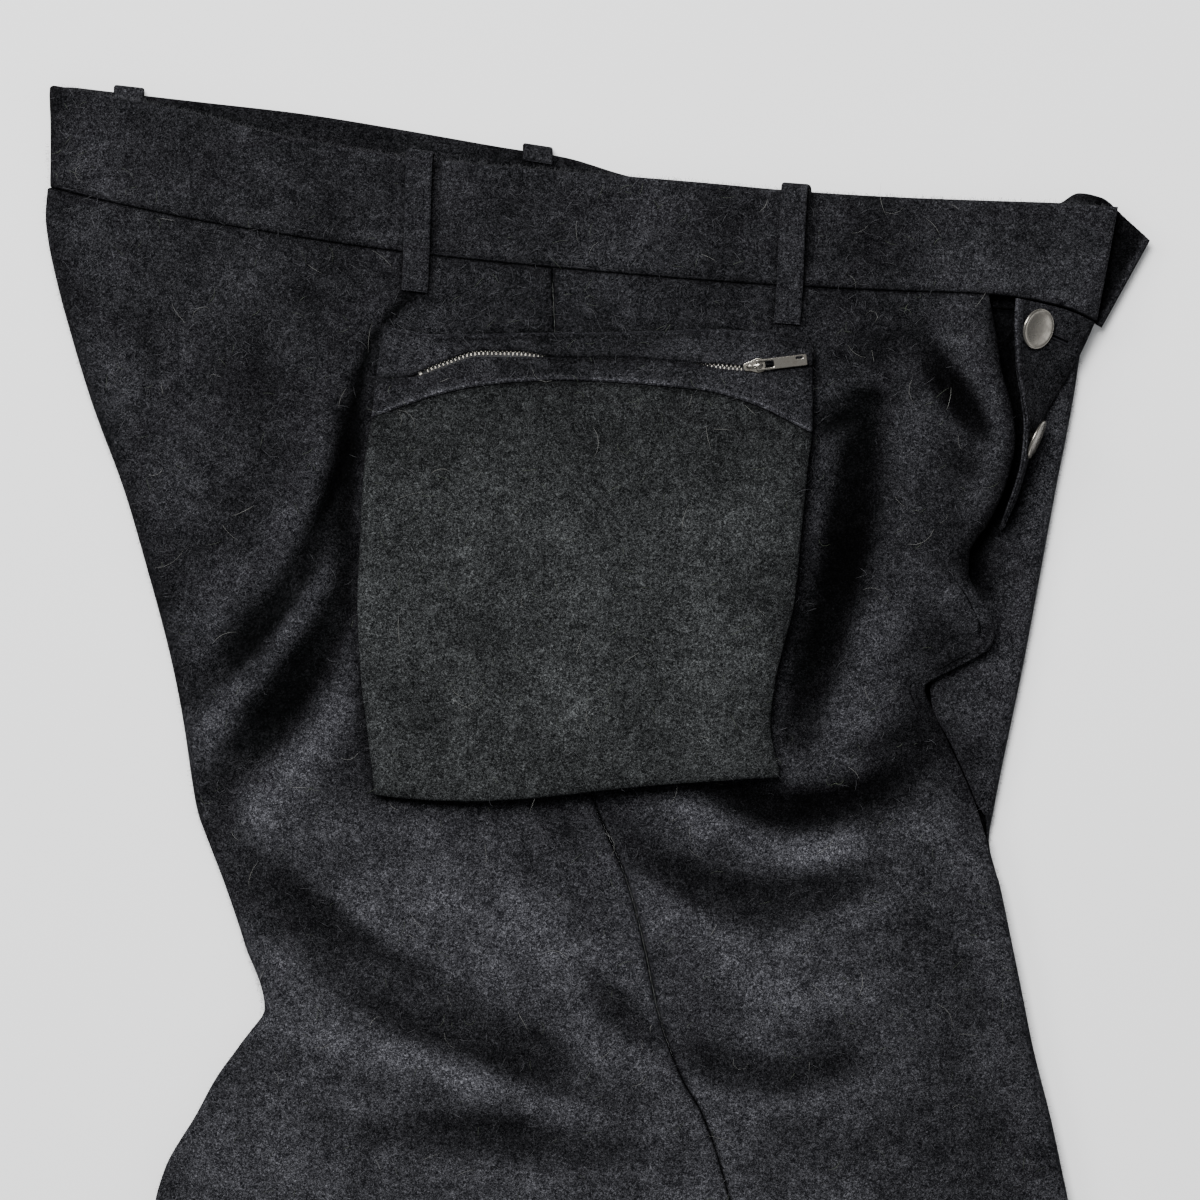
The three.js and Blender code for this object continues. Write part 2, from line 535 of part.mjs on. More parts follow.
// The near front ends at the fly edge and the centre front seam, and below the crotch goes
// round into the inner side of the leg.
function nearFront(row) {
  const onTop = edgeAlong(flyEdge, nearDrop, row);
  const outline = edgeAlong(flySilhouette, nearDrop, row) - CLOTH / 2;
  const drop = nearDrop(row, outline);
  const turn = smooth(288, 330, drop);
  return {
    seam: sideSeam(nearDrop(row, 210)) + SEAM_GAP / 2,
    edge: outline,
    side: 1,
    firstZ: (x) => nearHeight(x, nearDrop(row, x)),
    secondZ: NEAR_INNER,
    firstEnd: Math.min(onTop, outline) - SEAM_GAP / 2,
    turn,
    secondEnd: Math.min(crotch(outline - 4, 318, drop), outline - 6) + SEAM_GAP / 2,
  };
}

// The far back lies on the floor from the side seam to the centre back seam.
function farBack(row) {
  const edge = edgeAlong(seatEdge, farDrop, row) + CLOTH / 2;
  const drop = farDrop(row, edge);
  const lift = 2 * Math.exp(-Math.max(0, row - farStart) / 16);
  const turn = smooth(358, 398, drop);
  return {
    seam: sideSeam(farDrop(row, 210)) - SEAM_GAP / 2,
    edge,
    side: -1,
    firstZ: () => FLOOR_LAYER + lift,
    secondZ: FAR_INNER,
    firstEnd: Math.max(centreBack(drop), edge + 4.5) + 3 * SEAM_GAP,
    turn,
    secondEnd: Math.max(crotch(edge + 4, BACK_NOTCH + 20, drop), edge + 5) - SEAM_GAP / 2,
  };
}

// The far front lies on the floor, comes over the fly fold, and ends under the near fly
// edge as its underlap and at the centre front seam.
function farFront(row) {
  const outline = edgeAlong(flySilhouette, farDrop, row) - CLOTH / 2;
  const drop = farDrop(row, outline);
  const lift = 2 * Math.exp(-Math.max(0, row - farStart) / 16);
  const over = lerp(6.6, FAR_INNER, smooth(286, 318, drop));
  const inLeg = drop > FRONT_NOTCH;
  const closing = 1 - 0.5 * smooth(284, 303, drop);
  return {
    seam: sideSeam(farDrop(row, 210)) + SEAM_GAP / 2,
    edge: outline,
    side: 1,
    firstZ: () => FLOOR_LAYER + lift,
    secondZ: over,
    firstEnd: outline,
    turn: inLeg ? lerp(0.5, 1, smooth(303, 330, drop)) : closing,
    secondEnd: inLeg
      ? Math.min(crotch(outline - 4, 320, drop), outline - 5) + SEAM_GAP / 2
      : Math.min(underlapEdge(drop) + SEAM_GAP / 2, outline - 8),
  };
}

function panel(shape, rows, dropAt, counts) {
  const grid = rows.map((row) =>
    section(shape(row), counts).map((p) => place(p.x, dropAt(row, p.x), p.z)),
  );
  return wall(grid, CLOTH);
}

add("near_back", panel(nearBack, NEAR_ROWS, nearDrop, [15, 5, 2]), wool);
add("near_front", panel(nearFront, NEAR_ROWS, nearDrop, [15, 5, 2]), wool);
add("far_back", panel(farBack, FAR_ROWS, farDrop, [6, 5, 3]), wool);
add("far_front", panel(farFront, FAR_ROWS, farDrop, [6, 5, 4]), wool);

// Near waistband, from its end at the fly round the seat fold to the centre back seam.
function nearBand() {
  const across = 4;
  const rows = [];
  for (let i = 0; i <= across; i++) {
    const t = i / across;
    const edge = -0.6 + BAND / 2;
    const points = section(
      {
        seam: 427.2 - BAND_END_SLANT * t,
        edge,
        side: -1,
        firstZ: (x) => lerp(nearTopZ(x), nearSeamZ(x), t),
        secondZ: UNDER_BAND,
        firstEnd: edge,
        turn: 1,
        secondEnd: centreBack(0) - SEAM_GAP / 2,
      },
      [26, 6, 2],
    );
    rows.push(
      points.map((p) => {
        const under = smooth(9, 5, p.z) * smooth(0, 10, p.x);
        const top = lerp(nearTop(p.x), (3 * p.x) / 25, under);
        return place(p.x, lerp(top, nearSeam(p.x) - SEAM_GAP, t), p.z);
      }),
    );
  }
  return wall(rows, BAND);
}
add("waistband_near", nearBand(), wool);

function farBand() {
  const rows = [0, 0.5, 1].map((t) =>
    FAR_BAND.map((c) =>
      place(lerp(c.topX, c.lowX, t), lerp(c.topDrop, c.lowDrop - SEAM_GAP, t), c.z),
    ),
  );
  return wall(rows, BAND);
}
add("waistband_far", farBand(), wool);

// A strap of even width along a line of points of drop and z, square to the band's slope.
function strap(line, wide, slope, shiftX) {
  const rows = line.map((p, i) => {
    const x = shiftX(i / (line.length - 1));
    return [-wide / 2, wide / 2].map((s) => place(x + s, p.drop + s * slope, p.z));
  });
  return wall(rows, STRAP);
}

// A near loop starts inside the band, turns over its top edge and ends below its seam.
function nearLoop({ x, lean, below }) {
  const [top, seam] = [nearTop(x), nearSeam(x)];
  const outside = (drop) => lerp(nearTopZ(x), nearSeamZ(x), (drop - top) / (seam - top));
  const clear = BAND / 2 + STRAP / 2 + LOOP.lift;
  const start = nearTopZ(x);
  const line = [
    { drop: top + LOOP.tail, z: start - clear },
    { drop: top - 1, z: start - clear },
    { drop: top - LOOP.over, z: start - clear * 0.5 },
    { drop: top - LOOP.over, z: start + clear * 0.5 },
    { drop: top - 0.8, z: start + clear + 0.5 },
    { drop: lerp(top, seam, 0.25), z: outside(lerp(top, seam, 0.25)) + clear + 1.2 },
    { drop: lerp(top, seam, 0.6), z: outside(lerp(top, seam, 0.6)) + clear + 1.4 },
    { drop: seam - 1, z: outside(seam) + clear + 0.8 },
    { drop: seam + below * 0.55, z: nearHeight(x, seam + below * 0.55) + clear - 0.2 },
    { drop: seam + below, z: nearHeight(x - lean, seam + below) + clear - 0.3 },
  ];
  const slope = (nearTop(x + 5) - nearTop(x - 5)) / 10;
  return strap(line, LOOP.wide, slope, (t) => x + lean * (0.5 - t));
}
for (const loop of NEAR_LOOPS) add(loop.name, nearLoop(loop), wool);

// A far loop lies under the band on the floor, and turns over its top edge.
function farLoop({ x, wide }) {
  const top = farTop(x);
  const clear = BAND / 2 + STRAP / 2 + LOOP.lift;
  const line = [
    { drop: top + 36, z: STRAP / 2 },
    { drop: top + 1, z: STRAP / 2 },
    { drop: top - 1.2, z: STRAP / 2 + 0.1 },
    { drop: top - LOOP.over, z: UNDER_BAND - 0.9 },
    { drop: top - LOOP.over, z: UNDER_BAND + 0.9 },
    { drop: top - 1, z: UNDER_BAND + clear - 0.3 },
    { drop: top + 4, z: UNDER_BAND + clear },
  ];
  const slope = (farTop(x + 5) - farTop(x - 5)) / 10;
  return strap(line, wide, slope, () => x);
}
for (const loop of FAR_LOOPS) add(loop.name, farLoop(loop), wool);

// A point of the fly strip between its free edge and its base, bellied a little. Its first
// row follows the seam of the waistband.
function stripPoint(row, t) {
  const i = Math.min(Math.floor(row), FLY_STRIP.length - 2);
  const mix = (key) => lerp(FLY_STRIP[i][key], FLY_STRIP[i + 1][key], row - i);
  const x = lerp(mix("freeX"), mix("baseX"), t);
  const straight = lerp(mix("freeDrop"), mix("baseDrop"), t);
  const drop = row === 0 ? nearSeam(x) + 2 * SEAM_GAP : straight;
  return place(x, drop, lerp(mix("freeZ"), mix("baseZ"), t) - 0.6 * Math.sin(Math.PI * t));
}
function flyStrip() {
  const rows = FLY_STRIP.map((_, row) => [0, 0.25, 0.5, 0.75, 1].map((t) => stripPoint(row, t)));
  return wall(rows, CLOTH);
}

// A solid of manifold-3d from a three.js geometry, and back.
function solidFrom(geometry, matrix) {
  const flat = geometry.index ? geometry.toNonIndexed() : geometry.clone();
  if (matrix) flat.applyMatrix4(matrix);
  const seen = new Map();
  const positions = [];
  const index = [];
  const p = flat.getAttribute("position");
  for (let i = 0; i < p.count; i++) {
    const key = [p.getX(i), p.getY(i), p.getZ(i)].map((v) => v.toFixed(4)).join(" ");
    if (!seen.has(key)) {
      seen.set(key, positions.length / 3);
      positions.push(p.getX(i), p.getY(i), p.getZ(i));
    }
    index.push(seen.get(key));
  }
  const whole = [];
  for (let i = 0; i < index.length; i += 3) {
    const [a, b, c] = index.slice(i, i + 3);
    if (a !== b && b !== c && a !== c) whole.push(a, b, c);
  }
  return new wasm.Manifold(
    new wasm.Mesh({
      numProp: 3,
      vertProperties: new Float32Array(positions),
      triVerts: new Uint32Array(whole),
    }),
  );
}

function geometryFrom(solid) {
  const mesh = solid.getMesh();
  const geometry = new THREE.BufferGeometry();
  geometry.setAttribute("position", new THREE.BufferAttribute(mesh.vertProperties, 3));
  geometry.setIndex(new THREE.BufferAttribute(mesh.triVerts, 1));
  return geometry;
}

// A fly button: a flat disc with a low dome, on a post that goes through the strip.
function buttonShape(stand) {
  const { radius, dome, edge, post } = BUTTON;
  const profile = [
    [0, -stand - CLOTH],
    [post, -stand - CLOTH],
    [post, -edge / 2],
    [radius - 0.5, -edge / 2],
    [radius, 0],
    [radius - 0.5, edge / 2],
    [radius * 0.5, edge / 2 + dome * 0.8],
    [0, edge / 2 + dome],
  ].map(([r, h]) => new THREE.Vector2(r, h));
  return new THREE.LatheGeometry(profile, 20).rotateX(Math.PI / 2);
}

// Each buttonhole is a round eye for the post and a slit towards the strip's base.
let strip = solidFrom(flyStrip());
BUTTONS.forEach(({ row, across, lookX, lookY, lookZ, stand }, i) => {
  const look = new THREE.Vector3(lookX, lookY, lookZ).normalize();
  const seat = stripPoint(row, across);
  const toBase = stripPoint(row, 1).sub(stripPoint(row, 0));
  const side = new THREE.Vector3().crossVectors(look, toBase).normalize();
  const slitWay = new THREE.Vector3().crossVectors(side, look);
  const frame = new THREE.Matrix4().makeBasis(slitWay, side, look).setPosition(seat);
  const { post, slitLong, slitWide } = BUTTON;
  const eye = new THREE.CylinderGeometry(post + SEAM_GAP, post + SEAM_GAP, 9, 16);
  const slit = new THREE.BoxGeometry(slitLong, slitWide, 9).translate(slitLong / 2, 0, 0);
  strip = strip.subtract(solidFrom(eye.rotateX(Math.PI / 2), frame)).subtract(solidFrom(slit, frame));
  const shape = buttonShape(stand).translate(0, 0, stand).applyMatrix4(frame);
  add("fly_button_" + (i + 1), shape, nickel);
});
add("fly_strip", geometryFrom(strip), wool);

// Height of the pocket above the near cloth, from its place across (u) and down (v).
function pocketRise(u, v) {
  const left = POCKET_RISE.left * smooth(-0.12, 0.35, v);
  const right = POCKET_RISE.right * smooth(-0.16, 0.2, v);
  const foot = lerp(POCKET_RISE.footLeft, POCKET_RISE.footRight, u);
  const edge = lerp(lerp(left, right, smooth(0, 1, u)), foot, smooth(0.6, 1, v));
  return edge + POCKET_RISE.middle * Math.sin(Math.PI * u) ** 0.6 * smooth(0, 0.4, v);
}

const pocketAt = (x, drop) => {
  const [left, right] = [pocketLeft(drop), pocketRight(drop)];
  const [top, foot] = [pocketTop(x), pocketFoot(x)];
  return { u: clamp((x - left) / (right - left), 0, 1), v: clamp((drop - top) / (foot - top), 0, 1) };
};
const rollDown = (distance) => 1 - Math.sqrt(1 - (1 - clamp(distance / POCKET_ROLL, 0, 1)) ** 2 * 0.98);

function pocketHeight(x, drop) {
  const { u, v } = pocketAt(x, drop);
  const over = nearHeight(x, drop) + CLOTH + SEAM_GAP;
  const across = Math.min(x - pocketLeft(drop), pocketRight(drop) - x);
  const down = pocketFoot(x) - drop;
  const rise = pocketRise(u, v);
  const roll = Math.min(rise * 0.55, 3) * rollDown(Math.min(across, down));
  return over + rise - roll;
}

// A patch of the pocket between two curves across it.
const POCKET_EDGE = [0.012, 0.035];
const pocketColumns = (count) => [
  0,
  ...POCKET_EDGE,
  ...Array.from({ length: count }, (_, i) => lerp(0.07, 0.93, i / (count - 1))),
  ...POCKET_EDGE.map((u) => 1 - u).reverse(),
  1,
];
function pocketPatch(upper, lower, steps, count) {
  const rows = steps.map((t) =>
    pocketColumns(count).map((u) => {
      let x = lerp(126, 300, u);
      let drop = 0;
      for (let i = 0; i < 8; i++) {
        drop = lerp(upper(x), lower(x), t);
        x = lerp(pocketLeft(drop), pocketRight(drop), u);
      }
      return place(x, drop, pocketHeight(x, drop));
    }),
  );
  return wall(rows, CLOTH * 0.8);
}
const half = SEAM_GAP / 2;
const mouth = (x) => ZIP.half * smooth(ZIP.start - 16, ZIP.start, x) * smooth(300, 288, x) + half;
add(
  "pocket_front",
  pocketPatch(
    (x) => pocketSeam(x) + half,
    (x) => pocketFoot(x) - half,
    [0, 0.06, 0.15, 0.26, 0.38, 0.5, 0.62, 0.74, 0.85, 0.93, 0.975, 1],
    12,
  ),
  wool,
);
add(
  "pocket_band_lower",
  pocketPatch((x) => pocketZip(x) + mouth(x), (x) => pocketSeam(x) - half, [0, 0.5, 1], 24),
  wool,
);
add(
  "pocket_band_upper",
  pocketPatch((x) => pocketTop(x), (x) => pocketZip(x) - mouth(x), [0, 0.5, 1], 24),
  wool,
);

// The gusset: a wall round the pocket's two sides and foot, under its rolled edge.
function pocketGusset() {
  const inset = 2.4;
  const line = [];
  const sideDrops = [128, 150, 175, 200, 225, 250, 270];
  const footX = [0.06, 0.2, 0.35, 0.5, 0.65, 0.8, 0.94];
  for (const d of sideDrops) line.push([pocketLeft(d) + inset, d + 8]);
  for (const t of footX) {
    const x = lerp(pocketLeft(284) + inset, pocketRight(280) - inset, t);
    line.push([x, pocketFoot(x) - inset]);
  }
  for (const d of [...sideDrops].reverse()) line.push([pocketRight(d) - inset, d + 8]);
  const rows = [0, 0.5, 1].map((t) =>
    line.map(([x, drop]) => {
      const low = nearHeight(x, drop) + CLOTH / 2 + 2 * SEAM_GAP;
      const high = pocketHeight(x, drop) - CLOTH * 0.4 - SEAM_GAP - 1.6;
      return place(x, drop, lerp(low, Math.max(high, low + 1), t));
    }),
  );
  return wall(rows, CLOTH * 0.7);
}
add("pocket_gusset", pocketGusset(), wool);

// Zip: a tape under the mouth, and on it the closed chain of teeth.
function along(from, to, count, make) {
  return Array.from({ length: count + 1 }, (_, i) => make(lerp(from, to, i / count)));
}
function zipStrip(wide, thick, sink, from, to) {
  const rows = along(from, to, 26, (x) =>
    [-0.5, 0.5].map((s) => {
      const drop = pocketZip(x) + s * wide;
      return place(x, drop, pocketHeight(x, drop) - sink);
    }),
  );
  return wall(rows, thick);
}
add("zip_tape", zipStrip(8, 0.6, CLOTH * 0.4 + 0.9, ZIP.start - 4, ZIP.end + 8), tapeCloth);
add("zip_chain", zipStrip(ZIP.chainWide, ZIP.chainHigh, 0.1, ZIP.start, ZIP.end - 4), nickel);

// Slider and pull tab. Both are made about the slider's middle, along the zip.
const sliderZ = pocketHeight(SLIDER.x + 3, SLIDER.drop) + CLOTH * 0.4 + 0.6;
const sliderFrame = new THREE.Matrix4().compose(
  place(SLIDER.x, SLIDER.drop, sliderZ),
  new THREE.Quaternion().setFromAxisAngle(new THREE.Vector3(0, 0, 1), (SLIDER.turn * Math.PI) / 180),
  new THREE.Vector3(1, 1, 1),
);
const box = (long, wide, high, x, y, z) =>
  solidFrom(new THREE.BoxGeometry(long, wide, high), new THREE.Matrix4().makeTranslation(x, y, z));

function sliderBody() {
  const outline = new THREE.Shape();
  const [l, w] = [SLIDER.long / 2, SLIDER.wide / 2];
  outline.moveTo(-l, -w * 0.55);
  outline.quadraticCurveTo(0, -w * 0.7, l * 0.3, -w);
  outline.quadraticCurveTo(l, -w, l, 0);
  outline.quadraticCurveTo(l, w, l * 0.3, w);
  outline.quadraticCurveTo(0, w * 0.7, -l, w * 0.55);
  outline.closePath();
  const settings = { depth: SLIDER.high, bevelEnabled: false, curveSegments: 5 };
  const plate = new THREE.ExtrudeGeometry(outline, settings);
  const room = BAIL.high - BAIL.bar;
  const middle = SLIDER.high + BAIL.high / 2 - 0.1;
  const arch = box(2 * BAIL.half, BAIL.wide, BAIL.high + 0.2, 0, 0, middle).subtract(
    box(2 * (BAIL.half - BAIL.bar), BAIL.wide * 2, room, 0, 0, SLIDER.high + room / 2),
  );
  return solidFrom(plate).add(arch).transform(sliderFrame.toArray());
}
add("zip_slider", geometryFrom(sliderBody()), nickel);

// The tab turns on its pin, the short bar behind its eye. It is made about that pin.
const pinHeight = SLIDER.high + (BAIL.high - BAIL.bar) / 2;
const tabFrame = sliderFrame
  .clone()
  .multiply(new THREE.Matrix4().makeTranslation(PULL.pinX, 0, pinHeight))
  .multiply(new THREE.Matrix4().makeRotationY((PULL.tilt * Math.PI) / 180));
function pullTab() {
  const { long, wide, thick, pin, hole, holeWide } = PULL;
  const body = box(long, wide, thick, long / 2 - pin / 2, 0, 0);
  const eye = box(hole, holeWide, thick * 2, pin / 2 + hole / 2, 0, 0);
  const grooveStart = pin / 2 + hole + 1.4;
  const grooveLong = long - pin / 2 - 1.4 - grooveStart;
  const groove = box(grooveLong, holeWide, thick, grooveStart + grooveLong / 2, 0, thick * 0.8);
  return body.subtract(eye).subtract(groove).transform(tabFrame.toArray());
}
add("zip_pull", geometryFrom(pullTab()), nickel);

export default garment;
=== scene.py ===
# %% [markdown]
# # Cargo trousers of felted wool, laid on their side
# The real garment is cut from thick charcoal wool that has been milled and brushed, so
# that no weave shows: a dense mat of dark and paler fibres with a short nap. It lies on
# its left side with the fly undone, and the camera looks straight down on it. The packed
# CAD model is the frame. Each cloth panel is rebuilt here on the same cut, as a finer
# shell with round edges, and gets the creases, the sewing and the stray fibres.

import itertools
import math

import bmesh
import bpy
import numpy as np
from mathutils import Matrix, Vector


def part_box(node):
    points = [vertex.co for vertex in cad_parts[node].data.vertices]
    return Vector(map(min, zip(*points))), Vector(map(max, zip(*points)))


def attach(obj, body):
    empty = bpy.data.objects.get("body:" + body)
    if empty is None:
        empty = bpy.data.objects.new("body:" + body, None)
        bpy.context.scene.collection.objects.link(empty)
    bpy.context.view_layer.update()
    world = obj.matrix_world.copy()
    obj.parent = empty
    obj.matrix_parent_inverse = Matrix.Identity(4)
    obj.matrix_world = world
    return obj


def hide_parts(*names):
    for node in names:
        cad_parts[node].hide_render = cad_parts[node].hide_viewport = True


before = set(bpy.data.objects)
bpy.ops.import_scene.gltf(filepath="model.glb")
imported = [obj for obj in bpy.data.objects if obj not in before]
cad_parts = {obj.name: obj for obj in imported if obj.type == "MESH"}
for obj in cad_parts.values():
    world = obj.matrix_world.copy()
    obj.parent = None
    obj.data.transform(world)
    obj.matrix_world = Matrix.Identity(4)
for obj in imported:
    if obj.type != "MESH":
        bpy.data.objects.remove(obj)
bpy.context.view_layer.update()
MM = 0.001

# %% [markdown]
# ## The studio
# A flat lay is shot from a column over the table. The camera hangs high, with a long
# lens, so that the raised pocket doesn't lean outwards, and it frames only the upper part
# of the trousers. One broad soft light hangs beyond the waist, so far beside the camera
# that flat metal doesn't mirror it. A weaker one stands lower, on the seat side. Cloth
# that faces them is brightest, and every slope falls off into the dark of its fold.

# %% Camera, floor and light
VIEW_WIDTH = 480 * MM
VIEW_CENTRE = (1.0 * MM, 333.2 * MM)
CAMERA_HEIGHT = 3.2
CLOTH_HEIGHT = 14 * MM  # the height that is shown at its full scale
SENSOR = 36  # width in millimetres, as Blender gives it
FLOOR_BELOW = 0.2 * MM  # keeps the lowest cloth clear of the floor


def add_object(name, data):
    """An object with its data, linked to the scene."""
    made = bpy.data.objects.new(name, data)
    bpy.context.scene.collection.objects.link(made)
    return made


def hang_camera():
    """A camera that looks straight down, with the waist at the top of its frame."""
    data = bpy.data.cameras.new("camera")
    data.sensor_width = SENSOR
    data.lens = SENSOR * (CAMERA_HEIGHT - CLOTH_HEIGHT) / VIEW_WIDTH
    data.clip_end = 50
    camera = add_object("camera", data)
    camera.location = (*VIEW_CENTRE, CAMERA_HEIGHT)
    bpy.context.scene.camera = camera


def hang_light(name, place, look_at, size, power):
    """A square soft light at a place, turned towards a point."""
    data = bpy.data.lights.new(name, "AREA")
    data.shape = "SQUARE"
    data.size = size
    data.energy = power
    light = add_object(name, data)
    light.location = place
    way = Vector(look_at) - Vector(place)
    light.rotation_mode = "QUATERNION"
    light.rotation_quaternion = way.to_track_quat("-Z", "Y")


def lay_floor(size, colour):
    """A plain pale floor under the cloth."""
    half = size / 2
    mesh = bpy.data.meshes.new("floor")
    corners = [(-half, -half, 0), (half, -half, 0), (half, half, 0), (-half, half, 0)]
    mesh.from_pydata(corners, [], [(0, 1, 2, 3)])
    floor = add_object("floor", mesh)
    floor.location.z = -FLOOR_BELOW
    material = bpy.data.materials.new("pale_floor")
    material.use_nodes = True
    shader = material.node_tree.nodes["Principled BSDF"]
    shader.inputs["Base Color"].default_value = (*colour, 1)
    shader.inputs["Roughness"].default_value = 0.9
    mesh.materials.append(material)


LAY_MIDDLE = (*VIEW_CENTRE, 0)
hang_camera()
lay_floor(size=12, colour=(0.92, 0.92, 0.92))
hang_light("overhead_light", (-0.6, 1.8, 3.0), LAY_MIDDLE, size=1.5, power=213)
hang_light("window_light", (-2.2, 1.8, 1.9), LAY_MIDDLE, size=1.2, power=36)
world = bpy.data.worlds.new("studio")
world.use_nodes = True
world.node_tree.nodes["Background"].inputs["Color"].default_value = (0.96, 0.98, 1, 1)
world.node_tree.nodes["Background"].inputs["Strength"].default_value = 0.4
bpy.context.scene.world = world
print("camera at", CAMERA_HEIGHT, "m")

# %% [markdown]
# ## Measuring like a cutter
# The panels' shapes come from short tables: x runs from the seat towards the fly, drop
# runs down from the waist, both in millimetres on the cloth. A smooth curve goes through
# the rows of a table, and it never swings past them, so an edge has no false waves.

# %% Sizes and number helpers
LENGTH = 1080  # drop of the hem
CENTRE_X = 219  # x of the frame's origin
CLOTH = 2  # wall of the felted wool
BAND = 3  # wall of the waistband
STRAP = 1.8  # wall of a belt loop
SEAM_GAP = 0.3  # between pieces that are sewn together
BACK_NOTCH = 370.8  # drop of the crotch at the seat fold
FRONT_NOTCH = 302.8  # drop of the crotch at the fly fold
FORK_DROP = 411  # drop where the four inner seams meet
CENTRE_BACK = 26.4  # the centre back seam lies underneath, this far in from the seat
FLOOR_LAYER, FAR_INNER, NEAR_INNER, NEAR_OUTER = 1, 4.2, 6.8, 10.8  # heights of layers
SEAT_EDGE = 7.4  # height of the near cloth at its edges, above the crotch
UNDER_BAND = 3.5  # height of the far waistband


def lerp(a, b, t):
    """A value between a and b, a share t of the way."""
    return a + (b - a) * t


def smooth(start, end, v):
    """0 before the start, 1 past the end and an eased step between them."""
    t = np.clip((v - start) / (end - start), 0, 1)
    return t * t * (3 - 2 * t)


def soft_max(a, b, width):
    """The larger of two heights, rounded where they cross."""
    return 0.5 * (a + b + np.sqrt((a - b) ** 2 + width * width))


def bell(distance, width):
    """1 at no distance, fading to almost 0 over two widths."""
    return np.exp(-((distance / width) ** 2))


def table(columns, *rows):
    """A table of measurements, with one array for each named column."""
    return dict(zip(columns.split(), np.array(rows, float).T))


def curve(rows, at, value):
    """A smooth curve through a table's rows that never swings past them."""
    x, y = rows[at], rows[value]
    width = np.diff(x)
    step = np.diff(y) / width
    slope = np.zeros(len(x))
    slope[0], slope[-1] = step[0], step[-1]
    turning = step[:-1] * step[1:] <= 0
    with np.errstate(divide="ignore", invalid="ignore"):
        slope[1:-1] = np.where(turning, 0, 2 / (1 / step[:-1] + 1 / step[1:]))

    def read(v):
        v = np.clip(np.asarray(v, float), x[0], x[-1])
        i = np.clip(np.searchsorted(x, v, side="right") - 1, 0, len(x) - 2)
        h = width[i]
        t = (v - x[i]) / h
        eased = t * t * (3 - 2 * t)
        bend = t * (1 - t) ** 2 * h * slope[i] + t * t * (t - 1) * h * slope[i + 1]
        return y[i] + (y[i + 1] - y[i]) * eased + bend

    return read


def column_curves(rows):
    """A smooth curve for each column of a table, read by the number of a row."""
    count = len(next(iter(rows.values())))
    numbered = {"row": np.arange(count, dtype=float), **rows}
    return {name: curve(numbered, "row", name) for name in rows}


def place(x, drop, z):
    """Points of the scene, in metres, from cutter's measurements."""
    x, drop, z = np.broadcast_arrays(x, drop, z)
    return np.stack([x - CENTRE_X, LENGTH / 2 - drop, z], axis=-1) * MM


def measure(points):
    """x and drop in millimetres of points of the scene, the other way round."""
    return points[..., 0] / MM + CENTRE_X, LENGTH / 2 - points[..., 1] / MM


print("hem at", place(CENTRE_X, LENGTH, 0).round(3), "m")

# %% [markdown]
# ## The cut
# These are the outlines of the panels as they lie: the silhouette at the seat and at the
# fly, the side seam between them, the edge of the fly that has been pulled back, and the
# two waistbands. They are the same as in the CAD source, so every shell lies in the
# space that its solid holds.

# %% Outlines of the legs
OUTLINE = table(
    "drop seat fly side",
    (40, -1.4, 420, 200),
    (52.8, -2.4, 420, 200.4),
    (62, -1.4, 419, 200.6),
    (80, 2.4, 416.6, 201),
    (100, 7.8, 413.8, 201.8),
    (126.8, 16, 409.8, 203),
    (162.8, 29.2, 402.8, 205),
    (190, 37.2, 397.8, 207.2),
    (230.8, 48, 390.2, 211),
    (258.8, 53.4, 384.4, 213.6),
    (280, 56.4, 380, 215.8),
    (291, 58.4, 378, 219),
    (302.8, 62.6, 376, 224),
    (320, 69.2, 380, 231),
    (345, 77.6, 385.2, 237.6),
    (370.8, 84.8, 390.4, 243),
    (384, 76.6, 393, 247),
    (398.8, 66, 396.6, 253),
    (412.8, 58.4, 400.2, 261),
    (436, 45.2, 405.2, 269),
    (452, 41.4, 408.4, 272.8),
    (520, 42.6, 418, 280),
    (600, 55, 420, 280),
    (700, 75, 411, 273),
    (800, 93, 399, 264),
    (900, 108, 387, 257),
    (1000, 120, 376, 251),
    (LENGTH, 128, 368, 248),
)
FLY_EDGE = table(
    "drop x",
    (84, 375.5),
    (100, 378.5),
    (116, 381),
    (131, 385),
    (143, 386.2),
    (159, 383),
    (176, 375.5),
    (188, 368),
    (196, 367.5),
    (208, 374),
    (219, 378.4),
    (226, 376),
    (234, 363),
    (242, 350),
    (249, 352.5),
    (263.6, 359.6),
    (286, 369.5),
    (302.8, 375),
)
UNDERLAP_EDGE = table(
    "drop x",
    (90, 392),
    (110, 380),
    (130, 372),
    (200, 356),
    (236, 352),
    (249, 352.8),
    (263.6, 360),
    (286, 369.8),
    (302.8, 375.3),
)
print("silhouette of", len(OUTLINE["drop"]), "rows, fly edge of", len(FLY_EDGE["drop"]))

